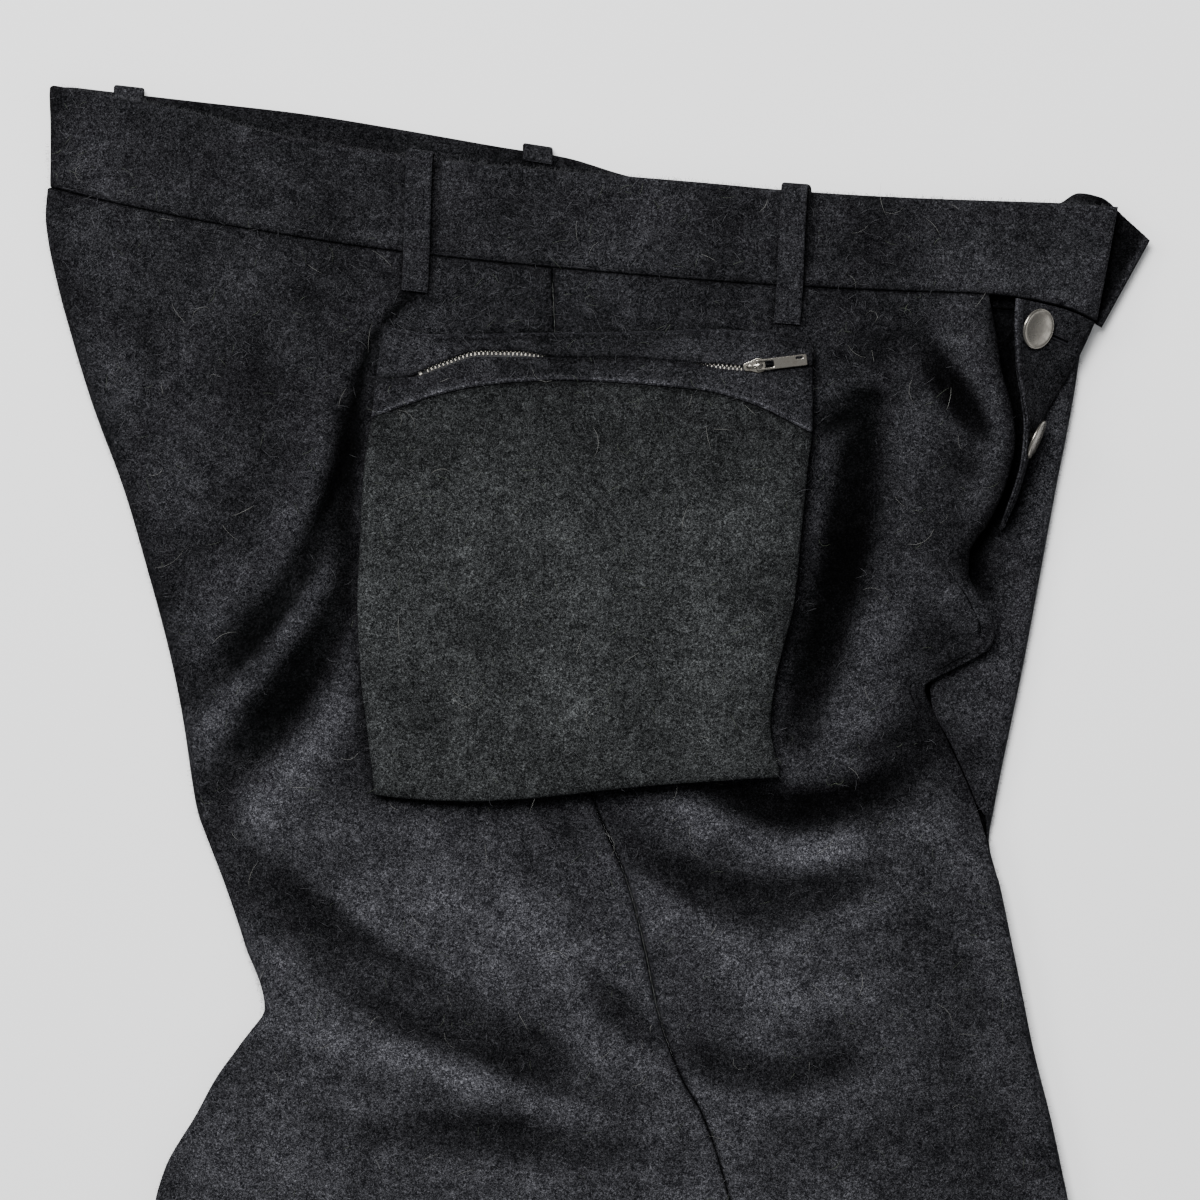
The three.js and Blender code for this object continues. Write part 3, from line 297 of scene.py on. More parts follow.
# %% Outlines of the waistbands
NEAR_BAND = table(
    "x top seam top_z seam_z",
    (-2, 0, 41, 8, 8),
    (20, 4.2, 46.6, 11.5, 10.5),
    (58, 12, 54.6, 14.5, 12.2),
    (91, 20.8, 60.2, 15, 12.8),
    (126, 27, 65.6, 13.6, 12.6),
    (172, 32.4, 71, 12.4, 12.6),
    (226, 36.8, 76, 12, 12.6),
    (260, 39.6, 78.8, 12, 12.2),
    (300, 43.2, 81.4, 12, 12),
    (340, 45.6, 83.2, 12.2, 12.4),
    (376, 47, 84.6, 13, 14),
    (404, 48, 89.2, 14, 14),
    (427.2, 49.6, 99.4, 15, 12),
)
BAND_END = 427.2  # x of the near band's end at its top edge
BAND_END_SLANT = 8.4  # how far its lower corner is set back
FAR_BAND = table(
    "top_x top_drop low_x low_drop z",
    (25, 3, 25, 47.2, UNDER_BAND),
    (60, 7, 58, 50.4, UNDER_BAND),
    (100, 11.6, 97, 54.6, UNDER_BAND),
    (140, 18, 136, 60, UNDER_BAND),
    (180, 25, 176, 66, UNDER_BAND),
    (206, 29.2, 203, 70.4, UNDER_BAND),
    (232, 36.8, 230, 76, UNDER_BAND),
    (260, 42, 258, 81.4, UNDER_BAND),
    (300, 46, 297, 85.6, UNDER_BAND),
    (345, 49, 340, 88.6, UNDER_BAND),
    (380, 49.6, 370, 89.4, UNDER_BAND),
    (402, 48.4, 384, 90, 4.2),
    (412, 43.6, 394, 90.4, 5.6),
    (421, 45.4, 403, 90.6, 6.4),
    (431, 54, 412, 92.6, 6),
    (440.6, 62.6, 421.2, 97.6, 5.4),
)
print("near band from x", NEAR_BAND["x"][0], "to", BAND_END)

# %% Outline of the pocket
POCKET_SIDES = table(
    "drop left right",
    (97, 134, 300),
    (107, 132, 304.6),
    (136, 128.6, 304.4),
    (155, 126, 302.4),
    (183, 124.4, 299.6),
    (207, 123.4, 297.2),
    (239, 124.8, 289.6),
    (257, 127, 287.6),
    (276, 129.4, 291),
    (287, 130.4, 292),
)
POCKET_CURVES = table(
    "x top zip seam foot",
    (124, 95.4, 118, 135.6, 283.6),
    (140, 98.4, 118, 130, 285.8),
    (156, 100.6, 112.4, 124.8, 286.8),
    (172, 100.4, 107.6, 121.4, 287),
    (188, 100, 107.8, 119.8, 286.2),
    (205, 99.8, 110, 119.2, 284.6),
    (226, 99.6, 110, 120, 282.2),
    (245, 99.2, 111, 121.6, 280.4),
    (262, 98.4, 112.8, 123.4, 279.2),
    (280, 99.4, 114.2, 128.4, 278),
    (306, 105, 113.4, 141, 277),
)
print("pocket of", POCKET_SIDES["right"][0] - POCKET_SIDES["left"][0], "mm at its top")

# %% Curves through the tables
INSEAM = (232, 248)  # x of the inner seam at the fork and at the hem
seat_edge = curve(OUTLINE, "drop", "seat")
fly_silhouette = curve(OUTLINE, "drop", "fly")
side_seam = curve(OUTLINE, "drop", "side")
fly_edge = curve(FLY_EDGE, "drop", "x")
underlap_edge = curve(UNDERLAP_EDGE, "drop", "x")
near_top = curve(NEAR_BAND, "x", "top")
near_seam = curve(NEAR_BAND, "x", "seam")
near_top_z = curve(NEAR_BAND, "x", "top_z")
near_seam_z = curve(NEAR_BAND, "x", "seam_z")
far_seam = curve(FAR_BAND, "low_x", "low_drop")
far_top = curve(FAR_BAND, "top_x", "top_drop")
pocket_left = curve(POCKET_SIDES, "drop", "left")
pocket_right = curve(POCKET_SIDES, "drop", "right")
pocket_top = curve(POCKET_CURVES, "x", "top")
pocket_zip = curve(POCKET_CURVES, "x", "zip")
pocket_seam = curve(POCKET_CURVES, "x", "seam")
pocket_foot = curve(POCKET_CURVES, "x", "foot")


def inseam(drop):
    """x of the inner seam, which lies under the middle of the leg."""
    return lerp(*INSEAM, smooth(FORK_DROP, LENGTH, drop))


def centre_back(drop):
    """x of the centre back seam, which comes out to the fold above the crotch."""
    return seat_edge(drop) + lerp(3, CENTRE_BACK, smooth(352, 292, drop))


def crotch(edge, notch, drop):
    """The crotch seam, from an edge at its notch to the inner seam of the leg."""
    return lerp(edge, inseam(drop), smooth(notch, FORK_DROP, drop) ** 0.8)


print("waist seam at the side:", round(float(near_seam(200)), 1), "mm down")

# %% [markdown]
# ## Folds and creases
# Cloth that is dropped on a table and pulled straight keeps a few long soft folds, which
# fan out from where it is held: here from the pocket, the fly and the crotch. Each is
# drawn as a bowed line with a width and a height, a trough when the height is negative.
# The first table has the large folds of the solids. The second has small creases that
# only this shell carries. The third has lines of painted shade along creases: it changes
# the tone of the cloth and not its height.

# %% Folds
FOLDS = table(
    "x0 d0 xb db x1 d1 wide height",
    (122, 140, 112, 205, 54, 244, 8, -5.2),
    (124, 188, 108, 238, 60, 286, 8, -5.6),
    (112, 186, 98, 222, 58, 262, 6, 3.4),
    (120, 120, 117, 160, 118, 205, 5, -3),
    (60, 292, 104, 356, 232, 410, 12, -5.6),
    (128, 226, 116, 262, 76, 300, 10, 3.8),
    (132, 300, 168, 330, 214, 346, 22, 3.4),
    (88, 376, 156, 392, 236, 424, 11, 4.2),
    (128, 424, 186, 418, 250, 430, 9, -3.4),
    (326, 128, 322, 180, 300, 262, 8.5, -7),
    (312, 128, 338, 118, 360, 150, 9, 4.4),
    (342, 150, 346, 200, 316, 266, 14, 5),
    (350, 104, 364, 128, 378, 148, 5.5, -3.6),
    (352, 138, 366, 158, 378, 152, 6.5, -3.2),
    (372, 112, 388, 140, 366, 182, 7, 3.8),
    (340, 190, 366, 208, 372, 222, 11, 5.2),
    (372, 224, 354, 236, 322, 254, 7, 2.2),
    (260, 278, 306, 308, 352, 266, 7.5, -5.6),
    (258, 290, 312, 330, 356, 290, 9, 4),
    (224, 294, 286, 356, 334, 306, 8.5, -4.6),
    (216, 358, 232, 376, 246, 388, 6, -4),
    (250, 381, 276, 408, 322, 392, 7, -4.2),
    (262, 352, 300, 376, 346, 352, 14, 3),
    (120, 470, 190, 560, 178, 700, 20, 4),
    (330, 470, 345, 580, 300, 720, 20, 4),
    (80, 560, 170, 640, 250, 650, 14, -3),
    (300, 780, 270, 880, 290, 1010, 18, 3),
)

# %% Creases and lines of painted shade
CREASES = table(
    "x0 d0 xb db x1 d1 wide height",
    (204, 288, 209, 300, 210, 310, 2.4, -0.9),
    (154, 81, 136, 88, 129, 105, 2.4, -2.8),
    (130, 100, 121.5, 124, 120, 150, 2.4, -3),
    (120.5, 142, 117, 158, 106, 178, 3, -2.4),
    (140, 97, 152, 88, 166, 84, 2.2, -1.1),
    (214, 94, 222, 88, 232, 86, 3, -0.7),
    (30, 92, 44, 104, 40, 118, 4, -0.9),
    (96, 74, 106, 84, 108, 98, 3.5, -1),
    (84, 84, 74, 110, 92, 128, 6, -0.8),
    (60, 150, 78, 158, 92, 150, 7, 0.7),
    (48, 186, 66, 190, 84, 182, 6, -0.7),
    (346, 96, 340, 104, 330, 108, 4, -1),
    (330, 94, 350, 92, 366, 98, 3.6, -0.8),
    (352, 176, 366, 190, 374, 206, 3, 0.9),
    (300, 330, 320, 338, 344, 322, 5, 0.9),
    (170, 306, 182, 322, 176, 340, 7, -0.7),
    (110, 320, 126, 338, 150, 348, 6, 0.8),
    (96, 400, 120, 412, 150, 414, 6, 0.7),
    (196, 372, 214, 384, 226, 400, 5, 0.7),
    (286, 420, 320, 430, 352, 420, 6, -0.8),
    (356, 340, 372, 360, 368, 384, 6, -0.7),
    (150, 452, 200, 462, 260, 456, 8, 0.9),
    (344, 98, 358, 120, 378, 142, 5, -2.4),
    (318, 120, 330, 127, 344, 136, 5, -2.2),
    (306, 141, 314, 135, 326, 129, 4, -3),
    (322, 140, 344, 146, 356, 168, 6, 1.6),
    (346, 190, 360, 196, 374, 204, 4, -1.2),
    (312, 270, 340, 268, 360, 250, 5, -1.8),
    (302, 160, 304, 200, 296, 240, 3, -1.4),
)
# Lines of painted shade along creases; their height says how dark they make the cloth.
CREASE_SHADE_LINES = table(
    "x0 d0 xb db x1 d1 wide height",
    (153, 82, 134, 90, 128, 106, 1.7, 0.8),
    (128.5, 101, 121.5, 124, 120, 148, 1.7, 0.9),
    (120.5, 142, 117, 158, 106, 177, 2.2, 0.8),
    (302, 138, 314, 116, 350, 129, 3, 0.75),
    (328, 130, 322, 180, 292, 264, 5, 0.75),
    (268, 284, 306, 304, 348, 270, 4, 0.5),
)
print(len(FOLDS["x0"]), "folds,", len(CREASES["x0"]), "creases and", len(CREASE_SHADE_LINES["x0"]), "lines")

# %% [markdown]
# ## Height of the cloth
# A fold's profile is a bell across its line, and it fades towards both ends of the line.
# Thick felt is never quite even either, so three sizes of soft random hills are added.
# The cloth lies flat under the pocket, puffs up from its edges and rises to the waist.

# %% Height of the near cloth
LINE_STEPS = 40  # points along a fold's line
HILLS = 96  # random hills on a side, before they repeat
FLAT_UNDER_POCKET = 12  # height of the cloth that carries the pocket
PUFF, PUFF_REACH = 4.6, 20  # rise from the edges inwards, and over which way
NOTCH_WIDTH = 290  # from the crotch at the seat to the crotch at the fly
LEG_START, LEG_RISE = (325, 268), (55, 45)  # drops, at the seat side and at the fly side
STRIP_LIFT = 5.5  # the fly's edge stands off at the fly strip
WAIST_EASE = 14  # the cloth comes up to the waist seam over about this drop


def fold_height(folds, x, drop):
    """Height that a table of folds adds at each point."""
    x, drop = np.broadcast_arrays(np.asarray(x, float), np.asarray(drop, float))
    height = np.zeros(x.shape)
    t = np.linspace(0, 1, LINE_STEPS + 1)
    start, bow, end = (1 - t) ** 2, 2 * t * (1 - t), t * t
    for row in zip(*folds.values()):
        x0, d0, xb, db, x1, d1, wide, high = row
        line_x = start * x0 + bow * xb + end * x1
        line_drop = start * d0 + bow * db + end * d1
        reach = 3 * wide
        near = (x > line_x.min() - reach) & (x < line_x.max() + reach)
        near &= (drop > line_drop.min() - reach) & (drop < line_drop.max() + reach)
        if not near.any():
            continue
        away = np.hypot(x[near][:, None] - line_x, drop[near][:, None] - line_drop)
        closest = away.argmin(axis=1)
        fade = 0.35 + 0.65 * np.sin(np.pi * t[closest])
        height[near] += high * fade * bell(away.min(axis=1), wide)
    return height


def unevenness(x, drop, grain, seed):
    """Smooth random hills between -1 and 1, about a grain apart."""
    spread = np.random.default_rng(seed).uniform(-1, 1, (HILLS, HILLS))
    u, v = np.asarray(x) / grain + 40, np.asarray(drop) / grain + 40
    i, j = np.floor(u).astype(int), np.floor(v).astype(int)
    s, t = u - i, v - j
    s, t = s * s * (3 - 2 * s), t * t * (3 - 2 * t)
    i, j, i1, j1 = i % HILLS, j % HILLS, (i + 1) % HILLS, (j + 1) % HILLS
    upper = lerp(spread[i, j], spread[i1, j], s)
    lower = lerp(spread[i, j1], spread[i1, j1], s)
    return lerp(upper, lower, t)


def felt_swell(x, drop, seed):
    """How far thick felt swells and sinks by itself, in millimetres."""
    broad = 0.34 * unevenness(x, drop, 19, seed)
    middle = 0.16 * unevenness(x, drop, 8.3, seed + 1)
    return broad + middle + 0.05 * unevenness(x, drop, 3.9, seed + 2)


def inside_pocket(x, drop):
    """How far points are inside the pocket's sides, and inside its top and foot."""
    across = np.minimum(x - pocket_left(drop), pocket_right(drop) - x)
    return across, np.minimum(drop - pocket_top(x), pocket_foot(x) - drop)


def under_pocket(x, drop):
    """1 inside the pocket's outline, fading to 0 outside it."""
    return smooth(-7, 3, np.minimum(*inside_pocket(x, drop)))


def near_height(x, drop):
    """Height of the middle of the near cloth."""
    x, drop = np.broadcast_arrays(np.asarray(x, float), np.asarray(drop, float))
    t = np.clip((x - seat_edge(BACK_NOTCH)) / NOTCH_WIDTH, 0, 1)
    start = lerp(*LEG_START, t)
    leg = smooth(start, start + lerp(*LEG_RISE, t), drop)
    edge = lerp(SEAT_EDGE, NEAR_OUTER, leg)
    right = np.where(drop < FRONT_NOTCH, fly_edge(drop), fly_silhouette(drop))
    inside = np.maximum(0, np.minimum(x - seat_edge(drop), right - x))
    lifted = STRIP_LIFT * smooth(236, 200, drop) * smooth(330, 372, x)
    puff = PUFF * (1 - np.exp(-inside / PUFF_REACH)) * (1 - 0.6 * leg)
    raised = edge + puff + lifted + fold_height(FOLDS, x, drop)
    small = fold_height(CREASES, x, drop) + 0.8 * felt_swell(x, drop, 3)
    plain = soft_max(raised, edge - 0.6, 1.2) + small * smooth(0, 12, inside)
    pocketed = lerp(plain, FLAT_UNDER_POCKET, under_pocket(x, drop))
    below_waist = np.maximum(0, drop - near_seam(x))
    return lerp(pocketed, near_seam_z(x), np.exp(-below_waist / WAIST_EASE))


print("height over the crotch", round(float(near_height(230, 330)), 1), "mm")

# %% [markdown]
# ## Shells
# A piece of thick cloth is a wall: an outer face, an inner face and a round edge. Each
# one is built on a grid of points that run through the middle of the cloth. The faces
# lie half a wall to either side of the grid, and they come together in a quarter circle
# at the rim, so that a sewn seam shows as a soft groove between two rolled edges.

# %% From a grid of points to a closed shell
RIM = np.array([0, 0.12, 0.4, 0.9])  # distances of the first rows from a rim
RIM_WALL = 0.08  # what is left of the wall at its rim


def run_length(grid, axis):
    """Distance along a grid's lines, from their start."""
    step = np.linalg.norm(np.diff(grid, axis=axis), axis=2)
    pad = [(0, 0), (0, 0)]
    pad[axis] = (1, 0)
    return np.cumsum(np.pad(step, pad), axis=axis)


def rim_distance(grid):
    """Distance of each point of a grid from the nearest of its four edges."""
    across, down = run_length(grid, 1), run_length(grid, 0)
    sides = np.minimum(across, across[:, -1:] - across)
    ends = np.minimum(down, down[-1:, :] - down)
    return np.minimum(sides, ends)


def grid_normals(grid):
    """The way that a grid's surface faces at each point."""
    over, down = np.gradient(grid, axis=1), np.gradient(grid, axis=0)
    normal = np.cross(over, down)
    return normal / np.maximum(np.linalg.norm(normal, axis=2, keepdims=True), 1e-12)


def grid_faces(height, width, first, turned):
    """The four-sided faces of a grid whose points start at a number."""
    number = first + np.arange(height * width).reshape(height, width)
    a, b = number[:-1, :-1].ravel(), number[:-1, 1:].ravel()
    c, d = number[1:, 1:].ravel(), number[1:, :-1].ravel()
    order = (a, d, c, b) if turned else (a, b, c, d)
    return np.stack(order, axis=1)


def shell(grid, thick, outward=1, swell=None):
    """Points and faces of a closed wall on a grid; thick is in millimetres."""
    height, width = grid.shape[:2]
    half = thick / 2 * MM
    share = np.clip(rim_distance(grid) / half, 0, 1)
    wall = half * lerp(RIM_WALL, 1, np.sqrt(1 - (1 - share) ** 2))
    normal = grid_normals(grid) * outward
    lift = wall if swell is None else wall + swell * MM * share
    outer = grid + normal * lift[..., None]
    inner = grid - normal * wall[..., None]
    count = height * width
    flipped = outward > 0
    faces = [
        grid_faces(height, width, 0, flipped),
        grid_faces(height, width, count, not flipped),
    ]
    number = np.arange(count).reshape(height, width)
    rim = np.concatenate(
        [number[0, :-1], number[:-1, -1], number[-1, :0:-1], number[:0:-1, 0]]
    )
    onward = np.roll(rim, -1)
    sides = (rim, rim + count, onward + count, onward)
    if not flipped:
        sides = sides[::-1]
    faces.append(np.stack(sides, axis=1))
    points = np.concatenate([outer.reshape(-1, 3), inner.reshape(-1, 3)])
    return points, np.concatenate(faces)


def with_rims(count, length, rim=RIM):
    """Shares from 0 to 1 that are even inside and crowd at both ends."""
    ends = np.array(rim) / length
    inner = np.linspace(ends[-1], 1 - ends[-1], count)
    return np.concatenate([ends[:-1], inner, 1 - ends[:-1][::-1]])


print("rows at a rim", RIM, "mm in")

# %% [markdown]
# ## Pieces of the part
# Every visible piece is one mesh with one finish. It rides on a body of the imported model,
# so that it moves with the joints, and it says which solid it takes the place of.


def points_of(mesh):
    """A mesh's points as an array."""
    co = np.zeros(len(mesh.vertices) * 3, np.float32)
    mesh.vertices.foreach_get("co", co)
    return co.reshape(-1, 3)


def make_piece(name, points, faces, material, slot, body="garment", replaces=()):
    """A mesh of the part, in its place, with its finish and the body that it rides on."""
    mesh = bpy.data.meshes.new(name)
    if isinstance(faces, np.ndarray):
        faces = faces.tolist()
    mesh.from_pydata(np.asarray(points).tolist(), [], faces)
    mesh.polygons.foreach_set("use_smooth", np.ones(len(mesh.polygons), bool))
    mesh.materials.append(material)
    mesh.update()
    made = add_object(name, mesh)
    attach(made, body)
    if replaces:
        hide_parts(*replaces)
    return made


def mid_area(grid):
    """Area of a grid's surface in square metres."""
    a = grid[1:, 1:] - grid[:-1, :-1]
    b = grid[1:, :-1] - grid[:-1, 1:]
    return 0.5 * np.linalg.norm(np.cross(a, b), axis=2).sum()


def joined(parts):
    """Several lists of points and faces as one."""
    points, faces = [], []
    for part_points, part_faces in parts:
        start = sum(len(p) for p in points)
        points.append(np.asarray(part_points))
        faces += [tuple(int(i) + start for i in face) for face in part_faces]
    return np.concatenate(points), faces


def repeated(faces, step, count):
    """The faces of one form, numbered for many copies of its points."""
    return [tuple(i + k * step for i in face) for k in range(count) for face in faces]


def tube_faces(rings, sides):
    """The faces of a tube whose points go round it ring by ring, with both its ends."""
    faces = []
    for a, i in itertools.product(range(0, (rings - 1) * sides, sides), range(sides)):
        j = (i + 1) % sides
        faces.append((a + i, a + j, a + sides + j, a + sides + i))
    first, last = range(sides), range((rings - 1) * sides, rings * sides)
    return [*faces, tuple(first)[::-1], tuple(last)]


def put(points, frame_matrix):
    """Points moved by a matrix."""
    turn = np.array(frame_matrix)
    return np.asarray(points) @ turn[:3, :3].T + turn[:3, 3]


print("solids in the frame", len(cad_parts))

# %% [markdown]
# ## Felted wool
# Milled wool has no weave to draw. What shows is mélange: dark fibres and some pale blue
# grey ones, matted in short curly strokes, with soft cloudy patches where the nap lies
# another way. A number on the mesh paints light into it: painted highlights on the crests
# and painted shade in the hollows. One node group makes the colour and the relief from
# noise, and each cloth gets its own tints.


# %% Node helpers
def add_node(tree, kind, values=None, **settings):
    """A node with its settings and with values for its named inputs."""
    node = tree.nodes.new(kind)
    for key, value in settings.items():
        setattr(node, key, value)
    for key, value in (values or {}).items():
        node.inputs[key].default_value = value
    return node


def math_node(tree, operation, first, second):
    """A Math node; each input is a number or the output of another node."""
    node = tree.nodes.new("ShaderNodeMath")
    node.operation = operation
    for socket, value in zip(node.inputs, (first, second)):
        if isinstance(value, (int, float)):
            socket.default_value = value
        else:
            tree.links.new(value, socket)
    return node.outputs[0]


def mix_colours(tree, share, first, second, blend="MIX"):
    """A Mix node for colours; inputs are values or outputs."""
    node = tree.nodes.new("ShaderNodeMix")
    node.data_type = "RGBA"
    node.blend_type = blend
    for socket, value in ((0, share), (6, first), (7, second)):
        if isinstance(value, (int, float, tuple)):
            node.inputs[socket].default_value = value
        else:
            tree.links.new(value, node.inputs[socket])
    return node.outputs[2]


def stretch(tree, value, low, high, to_low=0.0, to_high=1.0):
    """A Map Range node that takes one range to another, clamped."""
    node = add_node(
        tree,
        "ShaderNodeMapRange",
        {"From Min": low, "From Max": high, "To Min": to_low, "To Max": to_high},
    )
    tree.links.new(value, node.inputs["Value"])
    return node.outputs["Result"]


def noise(tree, where, scale, detail, rough, bend=0.0):
    """A Noise Texture node, with its scale in repeats a metre."""
    node = add_node(
        tree,
        "ShaderNodeTexNoise",
        {"Scale": scale, "Detail": detail, "Roughness": rough, "Distortion": bend},
    )
    tree.links.new(where, node.inputs["Vector"])
    return node.outputs["Fac"]


def new_group(name, inputs, outputs):
    """A node group with named inputs (kind and value) and outputs (kind)."""
    group = bpy.data.node_groups.new(name, "ShaderNodeTree")
    for label, (kind, value) in inputs.items():
        socket = group.interface.new_socket(label, in_out="INPUT", socket_type=kind)
        if value is not None:
            socket.default_value = value
    for label, kind in outputs.items():
        group.interface.new_socket(label, in_out="OUTPUT", socket_type=kind)
    return group, group.nodes.new("NodeGroupInput"), group.nodes.new("NodeGroupOutput")


def own_place(tree):
    """Where each point is on its own object."""
    return tree.nodes.new("ShaderNodeTexCoord").outputs["Object"]


def add_bump(tree, shader, height, strength, depth):
    """Relief in a shader's normal, from a height; depth is in millimetres."""
    bump = add_node(tree, "ShaderNodeBump", {"Strength": strength, "Distance": depth * MM})
    tree.links.new(height, bump.inputs["Height"])
    tree.links.new(bump.outputs["Normal"], shader.inputs["Normal"])


COLOUR, NUMBER, VECTOR = "NodeSocketColor", "NodeSocketFloat", "NodeSocketVector"


# %% The felt group
def felt_group():
    """Mélange colour and nap relief of milled wool, with painted light from the mesh."""
    group, given, made = new_group(
        "felted_wool",
        {
            "Where": (VECTOR, None),
            "Dark Fibre": (COLOUR, (0.006, 0.006, 0.008, 1)),
            "Pale Fibre": (COLOUR, (0.07, 0.07, 0.08, 1)),
            "Cloudiness": (NUMBER, 0.5),
            "Painted Light": (NUMBER, 0.5),
        },
        {"Color": COLOUR, "Relief": NUMBER},
    )
    where = given.outputs["Where"]
    strands = noise(group, where, 760, 4, 0.75, 2.2)
    specks = noise(group, where, 1350, 2, 0.7, 1.4)
    clumps = noise(group, where, 210, 3, 0.6, 0.8)
    clouds = noise(group, where, 34, 3, 0.55)
    fibre = math_node(group, "MULTIPLY", strands, 0.4)
    fibre = math_node(group, "ADD", fibre, math_node(group, "MULTIPLY", specks, 0.48))
    fibre = math_node(group, "ADD", fibre, math_node(group, "MULTIPLY", clumps, 0.12))
    share = stretch(group, fibre, 0.417, 0.623)
    share = math_node(group, "POWER", share, 2.2)
    melange = mix_colours(group, share, given.outputs["Dark Fibre"], given.outputs["Pale Fibre"])
    cloud = stretch(group, clouds, 0.3, 0.7, -0.5, 0.5)
    cloud = math_node(group, "MULTIPLY", cloud, given.outputs["Cloudiness"])
    # Painted light: the mesh's number darkens the colour for painted shade and lightens it for
    # painted highlights.
    painted_tone = stretch(group, given.outputs["Painted Light"], 0.0, 1.0, 0.04, 1.9)
    level = math_node(group, "MULTIPLY", math_node(group, "ADD", cloud, 1.0), painted_tone)
    grey = group.nodes.new("ShaderNodeCombineColor")
    for socket in grey.inputs:
        group.links.new(level, socket)
    shaded = mix_colours(group, 1.0, melange, grey.outputs[0], "MULTIPLY")
    relief = math_node(group, "ADD", fibre, math_node(group, "MULTIPLY", clumps, 0.6))
    group.links.new(shaded, made.inputs["Color"])
    group.links.new(relief, made.inputs["Relief"])
    return group


FELT = felt_group()
print(FELT.name, "has", len(FELT.nodes), "nodes")

# %% Materials of wool
CHARCOAL = {"dark": (0.003, 0.003, 0.0038), "pale": (0.087, 0.0873, 0.0965)}
GREEN_GREY = {"dark": (0.003, 0.0032, 0.0034), "pale": (0.093, 0.098, 0.1)}


def felt_material(name, dark, pale, cloudiness, painted_light="attribute"):
    """A material of felted wool. Its painted light is read from the mesh, or is one number."""
    material = bpy.data.materials.new(name)
    material.use_nodes = True
    tree = material.node_tree
    shader = tree.nodes["Principled BSDF"]
    shader.inputs["Roughness"].default_value = 0.95
    shader.inputs["Specular IOR Level"].default_value = 0.02
    felt = tree.nodes.new("ShaderNodeGroup")
    felt.node_tree = FELT
    tree.links.new(own_place(tree), felt.inputs["Where"])
    felt.inputs["Dark Fibre"].default_value = (*dark, 1)
    felt.inputs["Pale Fibre"].default_value = (*pale, 1)
    felt.inputs["Cloudiness"].default_value = cloudiness
    if painted_light == "attribute":
        own = tree.nodes.new("ShaderNodeAttribute")
        own.attribute_name = "painted_light"
        tree.links.new(own.outputs["Fac"], felt.inputs["Painted Light"])
    else:
        felt.inputs["Painted Light"].default_value = painted_light
    tree.links.new(felt.outputs["Color"], shader.inputs["Base Color"])
    add_bump(tree, shader, felt.outputs["Relief"], strength=0.35, depth=0.5)
    return material


WOOL = felt_material("charcoal_wool", **CHARCOAL, cloudiness=0.85)
POCKET_WOOL = felt_material("pocket_wool", **GREEN_GREY, cloudiness=0.65)


def plain_material(name, colour, roughness, metal=0.0):
    """A material with even values, and its shader; nodes for a pattern come after."""
    material = bpy.data.materials.new(name)
    material.use_nodes = True
    shader = material.node_tree.nodes["Principled BSDF"]
    shader.inputs["Base Color"].default_value = (*colour, 1)
    shader.inputs["Roughness"].default_value = roughness
    shader.inputs["Metallic"].default_value = metal
    return material, shader


print("wool materials:", WOOL.name, POCKET_WOOL.name)

# %% [markdown]
# ## The four panels
# A trouser leg is a tube of a front and a back panel, joined at the side seam and at the
# inner seam. Laid on its side, the tube is flat: each near panel runs from the side seam
# over a round fold at the silhouette and back underneath, and the far panels lie under
# them. A row of the grid is one cut across the cloth: the outer layer, the round fold
# and the layer that runs back.

# %% Rows across a folded panel
FLAT_END = 6  # what runs on past the edge of a row that isn't folded
ARC_COLUMNS = 12  # columns round the fold


def layers(shape, first_count, run_count):
    """x and height of each point of a folded panel, row by row.

    A row runs from the seam along the first layer, round a half circle at the edge and
    back along the second layer. Turn says how far round it gets, from 0 to 1.
    """
    seam, edge, side = shape["seam"], shape["edge"], shape["side"]
    first_z, second_z, turn = shape["first_z"], shape["second_z"], shape["turn"]
    fold_z = first_z(edge - side * 4)
    radius = np.abs(fold_z - second_z) / 2
    angle = np.pi * turn
    short = np.maximum(FLAT_END * (1 - 2 * turn), 1.2)
    run = lerp(short, np.abs(edge - side * radius - shape["second_end"]), smooth(0.75, 1, turn))
    way = lerp(angle, np.pi, smooth(0.5, 0.8, turn))
    reach = radius * np.sin(np.minimum(angle, np.pi / 2)) + run * np.maximum(np.cos(way), 0)
    tangent = edge - side * reach
    centre_z, up = (fold_z + second_z) / 2, np.sign(fold_z - second_z)
    length = np.abs(tangent - seam)
    even = np.linspace(0, 1, first_count)[None, :-1]
    share = lerp(even, np.sin(np.pi / 2 * even), 0.25)
    along = RIM[-1] + (length - RIM[-1]) * share
    along = np.concatenate([np.broadcast_to(RIM[:-1], (len(seam), 3)), along], axis=1)
    first_x = seam + side * along
    blend = np.where(turn > 0, smooth(14, 0, np.abs(first_x - tangent)), 0)
    heights = lerp(first_z(first_x), fold_z, blend)
    arc = radius * angle
    total = arc + run
    inner = np.linspace(0, 1, ARC_COLUMNS + run_count)[None, :]
    shared = inner * (total - RIM[-1])
    arc_share = np.linspace(0, 1, ARC_COLUMNS + 1)[None, :-1]
    folded = np.concatenate(
        [arc * arc_share, arc + (run - RIM[-1]) * np.linspace(0, 1, run_count)[None, :]], axis=1
    )
    distance = lerp(shared, folded, smooth(0.1, 0.6, turn))
    distance = np.concatenate([distance, total - RIM[:-1][::-1][None, :]], axis=1)
    turned = np.minimum(distance, arc) / radius
    left = np.maximum(distance - arc, 0)
    rest_x = tangent + side * (radius * np.sin(turned) + left * np.cos(way))
    start_z = np.where(turn > 0, fold_z, first_z(tangent))
    arc_z = centre_z + up * radius * np.cos(turned) - up * left * np.sin(way)
    rest_z = np.where(turn > 0, arc_z, start_z)
    return np.concatenate([first_x, rest_x], axis=1), np.concatenate([heights, rest_z], axis=1)


print("each fold has", ARC_COLUMNS, "columns")

